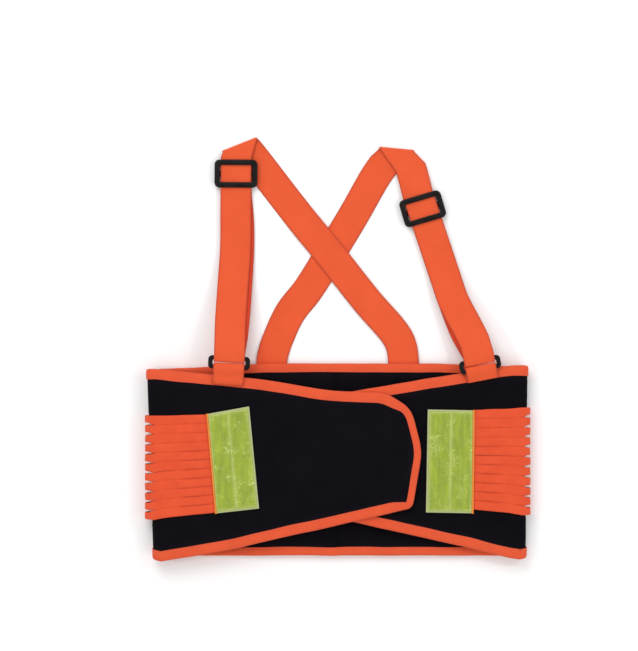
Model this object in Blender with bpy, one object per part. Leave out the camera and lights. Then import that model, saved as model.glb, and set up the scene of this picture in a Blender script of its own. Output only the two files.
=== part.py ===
"""Lumbar support belt with crossed shoulder straps, closed and laid flat on its back.

X runs across the belt, Y from its lower edge towards the shoulders, Z up out of the front.
The origin is under the middle of the belt's bounding box, on the surface that it lies on.
Lengths are written in millimetres and become metres where the meshes are made.
"""

import math

import bmesh
import bpy
from mathutils import Matrix, Vector

MM = 0.001
GAP = 0.3  # between pieces that touch

# Fabric body, from the table up.
PANEL = 3.0  # thickness of the padded fabric
BACK_Z = 6.5  # mid-plane of the back panel
RIGHT_Z = 16.5  # mid-plane of the right front, which lies under
LEFT_Z = 22.0  # mid-plane of the left front, which closes over it
BACK_TOP, BACK_BOTTOM = -17.0, -227.0
LEFT_FOLD = ((-200.5, -22.9), (-193.5, -232.6))  # top and bottom of the fold's centre line
RIGHT_FOLD = ((202.5, -18.8), (200.4, -230.3))
CLOSURE_X = -82.0  # where the closure flap bends up
UNDER_X = 93.5  # where the under flap bends up
ARC_STEPS = 6

# Binding tape round every edge.
TAPE = 0.6
TAPE_WIDTH = 10.5

# Elastic tension bands.
BAND = 1.4
BAND_RIBS = 11
SLIT = 3.0
NARROW_SLIT = 1.6
REAR_BAND_Z = BAND / 2
LEFT_BAND_FOLD = -199.4  # centre lines that the bands turn about at the sides
RIGHT_BAND_FOLD = 202.15

# Grip tabs.
TAB = 1.6
HOOK = 0.8
REFLECTOR = 0.5

# Shoulder straps and their hardware.
WEBBING = 1.4
STRAP_WIDTH = 34.0
STRAP_LOW_Z = 0.9
STRAP_HIGH_Z = 2.5  # the strap that crosses on top, and both where they are sewn on
FRONT_STRAP_Z = 5.0
RETURN_Z = 2.6
SHOULDER_R = 1.1  # mid-plane radius of the fold at each shoulder
STRAP_TAB = 1.2
RING_SIZE = (46.0, 14.8)
RING_WINDOW = (36.0, 6.0)
RING_THICK = 2.6
ADJUSTER_SIZE = (47.6, 31.0)
ADJUSTER_WINDOW = 36.0
ADJUSTER_BAR = 6.1
ADJUSTER_Z = (1.8, 8.2)
ADJUSTER_BAR_THICK = 2.2
LEFT_ADJUSTER = (-112.2, 193.4)
RIGHT_ADJUSTER = (93.8, 154.6)
RIGHT_ADJUSTER_TILT = 16.5  # degrees
RIGHT_STRAP_RUN = Vector((0.3156, -0.9489))  # straight stretch down from the right shoulder

# Stays in their casings, on the outer side of the back panel.
STAY_X = (-128.0, -30.0, 30.0, 128.0)
CASING = (14.0, 188.0, 3.0)
CASING_WALL = 0.5
STAY = (11.0, 180.0, 1.4)
CASING_Z = 1.7
STAY_RADIUS = 5.0

COLOURS = {
    "panel": ((0.010, 0.009, 0.011), 0.92),
    "binding": ((0.86, 0.115, 0.038), 0.80),
    "elastic": ((0.84, 0.105, 0.036), 0.78),
    "webbing": ((0.86, 0.120, 0.036), 0.75),
    "reflector": ((0.34, 0.48, 0.035), 0.22),
    "tab_backing": ((0.42, 0.44, 0.14), 0.55),
    "hook": ((0.012, 0.012, 0.013), 0.85),
    "loop": ((0.012, 0.011, 0.013), 0.98),
    "plastic": ((0.012, 0.012, 0.013), 0.38),
    "stay": ((0.75, 0.76, 0.74), 0.45),
    "casing": ((0.014, 0.013, 0.015), 0.85),
}


def material(name):
    """The named Principled material, made on first use."""
    if name in bpy.data.materials:
        return bpy.data.materials[name]
    colour, roughness = COLOURS[name]
    made = bpy.data.materials.new(name)
    made.use_nodes = True
    shader = made.node_tree.nodes["Principled BSDF"]
    shader.inputs["Base Color"].default_value = (*colour, 1.0)
    shader.inputs["Roughness"].default_value = roughness
    shader.inputs["Metallic"].default_value = 0.0
    made.diffuse_color = (*colour, 1.0)
    return made


def pivot(name, location):
    """An empty on a joint's axis, for the pieces that turn or slide there."""
    empty = bpy.data.objects.new(name, None)
    empty.empty_display_size = 0.02
    empty.location = Vector(location) * MM
    bpy.context.scene.collection.objects.link(empty)
    return empty


def finish(name, mesh, surface, parent=None):
    """An object from a bmesh in millimetres, placed under its pivot when it has one."""
    bmesh.ops.recalc_face_normals(mesh, faces=mesh.faces[:])
    if mesh.calc_volume(signed=True) < 0:
        bmesh.ops.reverse_faces(mesh, faces=mesh.faces[:])
    bmesh.ops.transform(mesh, matrix=Matrix.Scale(MM, 4), verts=mesh.verts[:])
    offset = -parent.location if parent else Vector((0, 0, 0))
    bmesh.ops.translate(mesh, vec=offset, verts=mesh.verts[:])
    data = bpy.data.meshes.new(name)
    mesh.to_mesh(data)
    mesh.free()
    data.materials.append(material(surface))
    made = bpy.data.objects.new(name, data)
    made.parent = parent
    bpy.context.scene.collection.objects.link(made)
    return made


def shade(obj):
    """Smooth shading, with edges over 35 degrees kept sharp."""
    obj.data.shade_smooth()
    obj.data.set_sharp_from_angle(angle=math.radians(35))
    return obj


def loft(name, rings, surface, parent=None):
    """A closed solid through cross-sections with the same number of points."""
    mesh = bmesh.new()
    loops = [[mesh.verts.new(point) for point in ring] for ring in rings]
    count = len(loops[0])
    for near, far in zip(loops, loops[1:]):
        for i in range(count):
            j = (i + 1) % count
            mesh.faces.new((near[i], near[j], far[j], far[i]))
    mesh.faces.new(loops[0][::-1])
    mesh.faces.new(loops[-1])
    return shade(finish(name, mesh, surface, parent))


def ribbon(name, sections, thickness, surface, parent=None):
    """A flat strip through sections of (one edge, other edge, normal) on its mid-plane."""
    rings = []
    for left, right, normal in sections:
        half = Vector(normal).normalized() * (thickness / 2)
        a, b = Vector(left), Vector(right)
        rings.append((a + half, b + half, b - half, a - half))
    return loft(name, rings, surface, parent)


def plate(name, outline, low, high, surface, parent=None):
    """A flat piece of this outline between two heights."""
    mesh = bmesh.new()
    base = mesh.faces.new([mesh.verts.new((x, y, low)) for x, y in outline])
    raised = bmesh.ops.extrude_face_region(mesh, geom=[base])["geom"]
    tops = [item for item in raised if isinstance(item, bmesh.types.BMVert)]
    bmesh.ops.translate(mesh, vec=(0, 0, high - low), verts=tops)
    return finish(name, mesh, surface, parent)


def rounded(corners, step=15.0):
    """An outline from (x, y, radius) corners, with an arc at each corner that has a radius."""
    points = []
    for i, (x, y, radius) in enumerate(corners):
        corner = Vector((x, y))
        if not radius:
            points.append(corner)
            continue
        before = (Vector(corners[i - 1][:2]) - corner).normalized()
        after = (Vector(corners[(i + 1) % len(corners)][:2]) - corner).normalized()
        half = before.angle(after) / 2
        centre = corner + (before + after).normalized() * (radius / math.sin(half))
        start = corner + before * (radius / math.tan(half)) - centre
        turn = start.angle_signed(corner + after * (radius / math.tan(half)) - centre)
        steps = max(1, math.ceil(abs(math.degrees(turn)) / step))
        for k in range(steps + 1):
            spun = Matrix.Rotation(-turn * k / steps, 2) @ start
            points.append(centre + spun)
    return points


def smooth(route, step):
    """Points at about this spacing on a smooth curve through the route."""
    route = [Vector(point) for point in route]
    ends = [2 * route[0] - route[1], *route, 2 * route[-1] - route[-2]]
    points = [route[0]]
    for a, b, c, d in zip(ends, ends[1:], ends[2:], ends[3:]):
        cuts = max(1, round((c - b).length / step))
        for k in range(1, cuts + 1):
            t = k / cuts
            bend = (2 * a - 5 * b + 4 * c - d) * t * t + (3 * b - a - 3 * c + d) * t ** 3
            points.append(0.5 * (2 * b + (c - a) * t + bend))
    return points


def strip_sections(centre, width, flip=1):
    """Sections of a strip of this width along points that rise and fall but don't roll."""
    found = []
    for i, point in enumerate(centre):
        ahead = centre[min(i + 1, len(centre) - 1)] - centre[max(i - 1, 0)]
        along = ahead.normalized()
        side = along.cross(Vector((0, 0, 1))).normalized() * flip
        found.append((point - side * width / 2, point + side * width / 2, side.cross(along) * flip))
    return found


def edge_tape(name, path, surface="binding", parent=None):
    """Binding tape folded round a panel's edge, through (edge point, inward, normal)."""
    inner = PANEL / 2 + GAP
    outer = inner + TAPE
    profile = ((-GAP - TAPE, -outer), (TAPE_WIDTH, -outer), (TAPE_WIDTH, -inner), (-GAP, -inner))
    profile += tuple((across, -up) for across, up in reversed(profile))
    rings = []
    for point, inward, normal in path:
        u, n = Vector(inward).normalized(), Vector(normal).normalized()
        rings.append([Vector(point) + u * across + n * up for across, up in profile])
    return loft(name, rings, surface, parent)


def flat_path(points, z, inward_left):
    """Edge stations of a flat panel along its outline, its material on the stated side."""
    found = []
    for i, point in enumerate(points):
        along = Vector(points[min(i + 1, len(points) - 1)]) - Vector(points[max(i - 1, 0)])
        if i in (0, len(points) - 1):  # the ends are cut square, so that the hinges stay clear
            along = Vector((along.x, 0))
        along.normalize()
        inward = Vector((-along.y, along.x, 0)) * (1 if inward_left else -1)
        found.append((Vector((point[0], point[1], z)), inward, (0, 0, 1)))
    return found


def fold_x(fold, y):
    """Where a side fold's centre line stands at this height up the belt."""
    (top_x, top_y), (bottom_x, bottom_y) = fold
    return top_x + (bottom_x - top_x) * (y - top_y) / (bottom_y - top_y)


def fold_point(centre_x, side, front_z, angle, y, rear_z=BACK_Z):
    """A point and its normal on a side fold: angle 0 is the front, pi is the back."""
    radius = (front_z - rear_z) / 2
    normal = Vector((side * math.sin(angle), 0, math.cos(angle)))
    return Vector((centre_x, y, (front_z + rear_z) / 2)) + normal * radius, normal


def fold_angles():
    return [math.pi * k / ARC_STEPS for k in range(ARC_STEPS + 1)]


def side_panel(name, fold, side, front_z):
    """The stretch of body fabric that turns from the front to the back."""
    sections = []
    (_, top), (_, bottom) = fold
    for angle in fold_angles():
        share = angle / math.pi
        y_top = top + (BACK_TOP - top) * share
        y_bottom = bottom + (BACK_BOTTOM - bottom) * share
        shift = side * GAP / 2
        upper, normal = fold_point(fold_x(fold, y_top) + shift, side, front_z, angle, y_top)
        lower, _ = fold_point(fold_x(fold, y_bottom) + shift, side, front_z, angle, y_bottom)
        sections.append((upper, lower, normal))
    return ribbon(name, sections, PANEL, "panel")


def side_tape_path(fold, side, front_z, at_top):
    """Edge stations of the binding round a side fold, from the back to the front."""
    x_y = fold[0] if at_top else fold[1]
    back_y = BACK_TOP if at_top else BACK_BOTTOM
    down = Vector((fold[1][0] - fold[0][0], fold[1][1] - fold[0][1], 0))
    inward = down if at_top else -down
    path = []
    for angle in reversed(fold_angles()):
        y = x_y[1] + (back_y - x_y[1]) * angle / math.pi
        point, normal = fold_point(fold_x(fold, y), side, front_z, angle, y)
        path.append((point, inward, normal))
    return path


def body_fabric(flap_pivot, under_pivot):
    """Back panel, side folds, the two fronts and the flaps that close over each other."""
    left_top, left_bottom = LEFT_FOLD
    right_top, right_bottom = RIGHT_FOLD
    back = (
        (fold_x(LEFT_FOLD, BACK_TOP) + GAP, BACK_TOP),
        (fold_x(RIGHT_FOLD, BACK_TOP) - GAP, BACK_TOP),
        (fold_x(RIGHT_FOLD, BACK_BOTTOM) - GAP, BACK_BOTTOM),
        (fold_x(LEFT_FOLD, BACK_BOTTOM) + GAP, BACK_BOTTOM),
    )
    plate("back_panel", back, BACK_Z - PANEL / 2, BACK_Z + PANEL / 2, "panel")
    side_panel("left_side_panel", LEFT_FOLD, -1, LEFT_Z)
    side_panel("right_side_panel", RIGHT_FOLD, 1, RIGHT_Z)

    left_upper = [(left_top[0] + GAP, left_top[1]), (CLOSURE_X - 0.2, -34.4)]
    left_lower = [
        (CLOSURE_X - 0.2, -211.0),
        (-122.9, -220.0),
        (-175.7, -229.4),
        (left_bottom[0] + GAP, left_bottom[1]),
    ]
    right_upper = [(UNDER_X + 0.2, -34.2), (123.5, -29.4), (185.0, -19.6), (right_top[0] - GAP, -18.8)]
    right_lower = [
        (right_bottom[0] - GAP, right_bottom[1]),
        (185.0, -228.0),
        (141.0, -217.0),
        (UNDER_X + 0.2, -206.5),
    ]
    low, high = LEFT_Z - PANEL / 2, LEFT_Z + PANEL / 2
    plate("left_front_panel", left_upper + left_lower, low, high, "panel")
    closure = rounded(
        (
            (CLOSURE_X + 0.2, -34.4, 0),
            (-5.0, -47.2, 200.0),
            (52.0, -48.5, 40.0),
            (80.0, -66.0, 30.0),
            (91.8, -112.0, 60.0),
            (81.5, -173.8, 9.0),
            (CLOSURE_X + 0.2, -211.0, 0),
        )
    )
    plate("closure_flap", closure, low, high, "panel", flap_pivot)
    edge_tape("closure_flap_binding", flat_path(closure, LEFT_Z, False), parent=flap_pivot)

    low, high = RIGHT_Z - PANEL / 2, RIGHT_Z + PANEL / 2
    plate("right_front_panel", right_upper + right_lower, low, high, "panel")
    under = rounded(
        (
            (UNDER_X - 0.2, -34.2, 0),
            (-34.0, -56.0, 34.0),
            (-45.0, -118.0, 80.0),
            (-38.0, -177.0, 14.0),
            (UNDER_X - 0.2, -206.5, 0),
        )
    )
    plate("under_flap", under, low, high, "panel", under_pivot)
    edge_tape("under_flap_binding", flat_path(under, RIGHT_Z, True), parent=under_pivot)

    for side, upper, lower in (("left", left_upper, left_lower), ("right", right_upper, right_lower)):
        fold, sign, z = (LEFT_FOLD, -1, LEFT_Z) if side == "left" else (RIGHT_FOLD, 1, RIGHT_Z)
        top_run = upper if side == "left" else upper[::-1]
        bottom_run = lower[::-1] if side == "left" else lower
        top_path = side_tape_path(fold, sign, z, True)
        top_path += flat_path(top_run, z, side == "right")[1:]
        bottom_path = side_tape_path(fold, sign, z, False)
        bottom_path += flat_path(bottom_run, z, side == "left")[1:]
        edge_tape(side + "_binding_top", top_path)
        edge_tape(side + "_binding_bottom", bottom_path)
    for name, run in (("back_binding_top", back[:2]), ("back_binding_bottom", back[2:])):
        ends = Vector(run[0]), Vector(run[1])
        inset = (ends[1] - ends[0]).normalized() * 2 * GAP
        edge_tape(name, flat_path((ends[0] + inset, ends[1] - inset), BACK_Z, False))


def flap_fasteners(flap_pivot, under_pivot):
    """The hook patch inside the closure flap and the loop patch that it grips."""
    hook = rounded(((12, -66, 8), (62, -70, 8), (68, -118, 8), (64, -158, 8), (12, -168, 8)), 30)
    bottom = LEFT_Z - PANEL / 2 - GAP
    plate("closure_hook_patch", hook, bottom - HOOK, bottom, "hook", flap_pivot)
    loop = rounded(((-22, -72, 8), (80, -62, 8), (80, -182, 8), (-22, -164, 8)), 30)
    top = RIGHT_Z + PANEL / 2 + GAP
    plate("under_loop_patch", loop, top, top + HOOK, "loop", under_pivot)


def stays():
    """Flexible stays in open-ended casings sewn to the outer side of the back panel."""
    for number, x in enumerate(STAY_X, 1):
        width, length, height = CASING
        middle = (BACK_TOP + BACK_BOTTOM) / 2
        half = length / 2
        outer = [(-width / 2, 0), (width / 2, 0), (width / 2, height), (-width / 2, height)]
        hole = [(px * (1 - 2 * CASING_WALL / width), pz) for px, pz in outer]
        hole = [(px, min(max(pz, CASING_WALL), height - CASING_WALL)) for px, pz in hole]
        mesh = bmesh.new()
        rows = []
        for y in (middle - half, middle + half):
            ends = [[(x + px, y, CASING_Z + pz) for px, pz in ring] for ring in (outer, hole)]
            rows.append([[mesh.verts.new(point) for point in ring] for ring in ends])
        near, far = rows
        for i in range(4):
            j = (i + 1) % 4
            for ring in (0, 1):
                mesh.faces.new((near[ring][i], near[ring][j], far[ring][j], far[ring][i]))
            for row in rows:
                mesh.faces.new((row[0][i], row[0][j], row[1][j], row[1][i]))
        finish(f"stay_casing_{number}", mesh, "casing")
        stay_width, stay_length, stay_thick = STAY
        a, b = stay_width / 2, stay_length / 2
        signs = ((-1, -1), (1, -1), (1, 1), (-1, 1))
        outline = rounded([(x + i * a, middle + j * b, STAY_RADIUS) for i, j in signs], 30)
        low = CASING_Z + (height - stay_thick) / 2
        plate(f"stay_{number}", outline, low, low + stay_thick, "stay")


def slotted_sheet(name, columns, open_column, thickness, surface):
    """A ribbed sheet through columns of (points, normals), cut through in every second row
    wherever open_column says that a stretch between two columns has slits."""
    mesh = bmesh.new()
    skins = []
    for sign in (1, -1):
        half = sign * thickness / 2
        skins.append([[mesh.verts.new(p + n * half) for p, n in column] for column in columns])
    rows = len(columns[0]) - 1

    def solid(i, j):
        inside = 0 <= i < len(columns) - 1 and 0 <= j < rows
        return inside and not (open_column[i] and j % 2 == 1)

    for i in range(len(columns) - 1):
        for j in range(rows):
            if not solid(i, j):
                continue
            corners = ((i, j), (i + 1, j), (i + 1, j + 1), (i, j + 1))
            beyond = ((i, j - 1), (i + 1, j), (i, j + 1), (i - 1, j))
            for skin in skins:
                mesh.faces.new([skin[a][b] for a, b in corners])
            for k in range(4):
                if not solid(*beyond[k]):
                    (a, b), (c, d) = corners[k], corners[(k + 1) % 4]
                    mesh.faces.new((skins[0][a][b], skins[0][c][d], skins[1][c][d], skins[1][a][b]))
    bmesh.ops.delete(mesh, geom=[v for v in mesh.verts if not v.link_faces], context="VERTS")
    return shade(finish(name, mesh, surface))


def tension_band(name, side, centre_x, front_z, tab_edge, at_tab, at_fold, stops):
    """The ribbed elastic from the grip tab, over the front and round the fold to the back."""
    column_end, bridge_end = stops

    def rows(top, bottom, slit):
        rib = (top - bottom - slit * (BAND_RIBS - 1)) / BAND_RIBS
        edges = [top]
        for _ in range(BAND_RIBS - 1):
            edges += [edges[-1] - rib, edges[-1] - rib - slit]
        return edges + [bottom]

    def flat_column(x_of, slit, share):
        top = at_tab[0] + (at_fold[0] - at_tab[0]) * share
        bottom = at_tab[1] + (at_fold[1] - at_tab[1]) * share
        return [(Vector((x_of(y), y, front_z)), Vector((0, 0, 1))) for y in rows(top, bottom, slit)]

    (top_x, top_y), (bottom_x, bottom_y) = tab_edge
    slope = (bottom_x - top_x) / (bottom_y - top_y)

    def seam(inset):
        return lambda y: top_x + slope * (y - top_y) + side * inset

    columns = [
        flat_column(seam(0.5), NARROW_SLIT, 0.0),
        flat_column(seam(3.0), NARROW_SLIT, 0.05),
        flat_column(lambda y: column_end, NARROW_SLIT, 0.6),
        flat_column(lambda y: bridge_end, SLIT, 0.9),
    ]
    openings = [False, True, False]
    for angle in fold_angles():
        column = []
        for y in rows(*at_fold, SLIT):
            point, normal = fold_point(centre_x, side, front_z, angle, y, REAR_BAND_Z)
            column.append((point, normal))
        columns.append(column)
        openings.append(True)
    for inset in (6.0, 10.0):
        x = centre_x - side * inset
        rear = [Vector((x, y, REAR_BAND_Z)) for y in rows(*at_fold, SLIT)]
        columns.append([(point, Vector((0, 0, -1))) for point in rear])
        openings.append(False)
    slotted_sheet(name, columns, openings, BAND, "elastic")


def tension_bands():
    """Both ribbed bands, their plain rear lengths and the patch that joins them."""
    front = PANEL / 2 + GAP + BAND / 2
    tension_band(
        "left_tension_band", -1, LEFT_BAND_FOLD, LEFT_Z + front, LEFT_TAB_EDGE,
        (-72.0, -179.2), (-73.2, -187.0), (-181.0, -198.5),
    )
    tension_band(
        "right_tension_band", 1, RIGHT_BAND_FOLD, RIGHT_Z + front, RIGHT_TAB_EDGE,
        (-66.8, -176.2), (-64.4, -182.6), (188.0, 200.0),
    )
    rear = ((-1, LEFT_BAND_FOLD, -73.2, -187.0), (1, RIGHT_BAND_FOLD, -64.4, -182.6))
    for side, x, top, bottom in rear:
        outer_x = x - side * (10.0 + GAP)
        inner_x = side * (27.0 + GAP)
        outline = ((outer_x, top), (inner_x, -72.0), (inner_x, -184.0), (outer_x, bottom))
        name = ("left" if side < 0 else "right") + "_rear_band"
        plate(name, outline, 0.0, BAND, "elastic")
    patch = rounded(((-27, -62, 6), (27, -62, 6), (27, -194, 6), (-27, -194, 6)), 30)
    plate("centre_back_patch", patch, 0.0, BAND, "casing")


LEFT_TAB = ((-144.2, -71.3), (-97.2, -62.8), (-86.3, -174.8), (-134.6, -180.3))
RIGHT_TAB = ((98.8, -66.4), (150.6, -67.3), (149.2, -180.4), (96.8, -179.5))
LEFT_TAB_EDGE = (LEFT_TAB[0], LEFT_TAB[3])
RIGHT_TAB_EDGE = (RIGHT_TAB[1], RIGHT_TAB[2])


def across_quad(quad, u, v):
    """A point in a four-cornered outline: u from its first side, v from its top."""
    top = Vector(quad[0]).lerp(Vector(quad[1]), u)
    bottom = Vector(quad[3]).lerp(Vector(quad[2]), u)
    return top.lerp(bottom, v)


def grip_tab(side, quad, panel_z, parent):
    """The grip tab on a band's end: hook patch, backing and two reflective strips."""
    base = panel_z + PANEL / 2 + GAP

    def inner(u0, u1, v0, v1, radius):
        corners = [across_quad(quad, u, v) for u, v in ((u0, v0), (u1, v0), (u1, v1), (u0, v1))]
        return rounded([(point.x, point.y, radius) for point in corners], 30)

    plate(side + "_tab_hook_patch", inner(0.10, 0.90, 0.05, 0.95, 4), base, base + HOOK, "hook", parent)
    low = base + HOOK + GAP
    plate(side + "_grip_tab", inner(0, 1, 0, 1, 2), low, low + TAB, "tab_backing", parent)
    top = low + TAB + GAP
    for number, (start, end) in enumerate(((0.05, 0.495), (0.505, 0.95)), 1):
        name = f"{side}_tab_reflector_{number}"
        plate(name, inner(start, end, 0.025, 0.975, 0), top, top + REFLECTOR, "reflector", parent)


def tab_top(panel_z):
    return panel_z + PANEL / 2 + 3 * GAP + HOOK + TAB + REFLECTOR


def crease_sections(centre, arriving, leaving, z_top, z_bottom):
    """Sections of webbing folded flat over a crease, where it turns from one run to the next."""
    crease = (arriving + leaving).normalized()
    reach = STRAP_WIDTH / 2 / abs(crease.cross(arriving))
    out = Vector((-crease.y, crease.x))
    if out.dot(arriving) < 0:
        out = -out
    side = 1 if crease.cross(arriving) > 0 else -1
    ends = [Vector((*(centre + crease * reach * sign), 0)) for sign in (-side, side)]
    middle, radius = (z_top + z_bottom) / 2, (z_top - z_bottom) / 2
    sections = []
    for angle in fold_angles():
        normal = Vector((*(out * math.sin(angle)), math.cos(angle)))
        lift = normal * radius + Vector((0, 0, middle))
        sections.append((ends[0] + lift, ends[1] + lift, normal))
    return sections


def hairpin(bar_edge, direction, z, half_gap, side_width, count=6):
    """Sections of a strip turning under a bar's edge, from below to above it."""
    across = Vector((-direction.y, direction.x, 0)) * (side_width / 2)
    sections = []
    for k in range(count + 1):
        angle = math.pi * k / count
        out = Vector((*direction, 0)) * math.sin(angle)
        normal = out + Vector((0, 0, -math.cos(angle)))
        point = Vector((*bar_edge, z)) + normal * half_gap
        sections.append((point - across, point + across, normal))
    return sections


def shifted(section, move):
    left, right, normal = section
    return left + move, right + move, normal


def strap(side, ring_centre, ring_run, ring_z, route, crease, back_route):
    """One shoulder strap: ring hairpin and front run, the return run, and the back run."""
    bar_reach = RING_WINDOW[1] / 2 + 0.5
    half_gap = RING_THICK / 2 + 0.4 + WEBBING / 2
    bar_edge = Vector(ring_centre) - ring_run * bar_reach
    turn = hairpin(bar_edge, ring_run, ring_z, half_gap, STRAP_WIDTH)
    back_off = Vector((*(-ring_run * 6.0), 0))
    climb = Vector((*(-ring_run * 9.0), 0))
    start = [shifted(turn[0], back_off)]
    end = [shifted(turn[-1], climb)]

    centre = Vector(crease)
    front = smooth(route, 14.0)
    arriving = (centre - Vector(front[-1][:2])).normalized()
    leaving = (Vector(back_route[0][:2]) - centre).normalized()
    low_z = back_route[0][2]
    fold = crease_sections(centre, arriving, leaving, low_z + 2 * SHOULDER_R, low_z)
    run_off = Vector((*(leaving * 3.0), 0))
    body = strip_sections(front, STRAP_WIDTH, 1)
    sections = start + turn + end + body + fold + [shifted(fold[-1], run_off)]
    ribbon(side + "_front_strap", sections, WEBBING, "webbing")

    first = shifted(fold[-1], run_off + Vector((*(leaving * GAP), 0)))
    rest = [(a, b, -n) for a, b, n in strip_sections(smooth(back_route, 14.0), STRAP_WIDTH, -1)]
    ribbon(side + "_back_strap", [first] + rest, WEBBING, "webbing")
    return turn


def return_strap(side, turn, ring_run, route):
    """The second layer of a front strap, from the ring back up to the adjuster's middle bar."""
    first = shifted(turn[0], Vector((*(-ring_run * (6.0 + GAP)), 0)))
    sections = strip_sections(smooth(route, 16.0), STRAP_WIDTH, 1)
    left, right, normal = first
    ribbon(side + "_return_strap", [(left, right, -normal)] + sections, WEBBING, "webbing")


def framed_plate(name, size, holes, low, high, radius, centre, tilt, parent=None):
    """A moulded plastic plate with rounded corners and box-shaped cuts."""
    half_x, half_y = size[0] / 2, size[1] / 2
    signs = ((-1, -1), (1, -1), (1, 1), (-1, 1))
    outline = rounded([(i * half_x, j * half_y, radius) for i, j in signs], 22.5)
    turn = Matrix.Rotation(math.radians(tilt), 2)
    placed = [turn @ point + Vector(centre) for point in outline]
    made = plate(name, placed, low, high, "plastic", parent)
    for number, (x0, x1, y0, y1, z0, z1) in enumerate(holes, 1):
        corners = [turn @ Vector(p) + Vector(centre) for p in ((x0, y0), (x1, y0), (x1, y1), (x0, y1))]
        cutter = plate(f"{name}_cutter_{number}", corners, z0, z1, "plastic", parent)
        cutter.hide_render = True
        cutter.display_type = "WIRE"
        cut = made.modifiers.new(f"cut_{number}", "BOOLEAN")
        cut.operation = "DIFFERENCE"
        cut.object = cutter
    return made


def ring(side, centre, z, tilt):
    """The flat loop that joins a strap to its tab on the belt."""
    half_x, half_y, half_z = RING_WINDOW[0] / 2, RING_WINDOW[1] / 2, RING_THICK / 2
    hole = (-half_x, half_x, -half_y, half_y, z - 5, z + 5)
    framed_plate(side + "_ring", RING_SIZE, (hole,), z - half_z, z + half_z, 4.5, centre, tilt)


def adjuster(side, centre, tilt, parent):
    """A three-bar slide: the strap runs under its end bars and over its middle bar."""
    low, high = ADJUSTER_Z
    half_w, half_l, bar = ADJUSTER_WINDOW / 2, ADJUSTER_SIZE[1] / 2, ADJUSTER_BAR / 2
    under = high - ADJUSTER_BAR_THICK
    over = low + ADJUSTER_BAR_THICK
    inner = half_l - ADJUSTER_BAR
    narrow = half_w - 0.05  # the windows' corners stand just inside the strap's channel
    holes = (
        (-narrow, narrow, bar, inner, low - 1, high + 1),
        (-narrow, narrow, -inner, -bar, low - 1, high + 1),
        (-half_w, half_w, inner - 1, half_l + 1, low - 1, under),
        (-half_w, half_w, -half_l - 1, 1 - inner, low - 1, under),
        (-half_w, half_w, -bar - 1, bar + 1, over, high + 1),
    )
    framed_plate(side + "_adjuster", ADJUSTER_SIZE, holes, low, high, 5.5, centre, tilt, parent)


def ring_height(panel_z):
    """The mid-plane of a ring whose tab lies on the binding of this front."""
    return panel_z + PANEL / 2 + TAPE + 2 * GAP + STRAP_TAB + 0.4 + RING_THICK / 2


def strap_tab(side, ring_centre, run, ring_z, panel_top, tail):
    """The short webbing loop that holds a ring to the belt's top edge."""
    half_gap = RING_THICK / 2 + 0.4 + STRAP_TAB / 2
    bar_edge = Vector(ring_centre) + run * (RING_WINDOW[1] / 2 + 0.5)
    turn = hairpin(bar_edge, -run, ring_z, half_gap, STRAP_WIDTH)
    lower = panel_top + GAP + TAPE + GAP + STRAP_TAB / 2
    upper = lower + STRAP_TAB + GAP

    def leg(section, reach, z):
        left, right, _ = section
        moved = [Vector((*(p.to_2d() + run * reach), z)) for p in (left, right)]
        return moved[0], moved[1], Vector((0, 0, 1))

    top = [leg(turn[-1], reach, z) for reach, z in ((6.0, turn[-1][0].z), (12.0, upper), (tail, upper))]
    bottom = [leg(turn[0], reach, lower) for reach in (tail, 6.0)]
    bottom = [(left, right, -normal) for left, right, normal in bottom]
    ribbon(side + "_strap_tab", bottom + turn + top, STRAP_TAB, "webbing")


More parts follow.
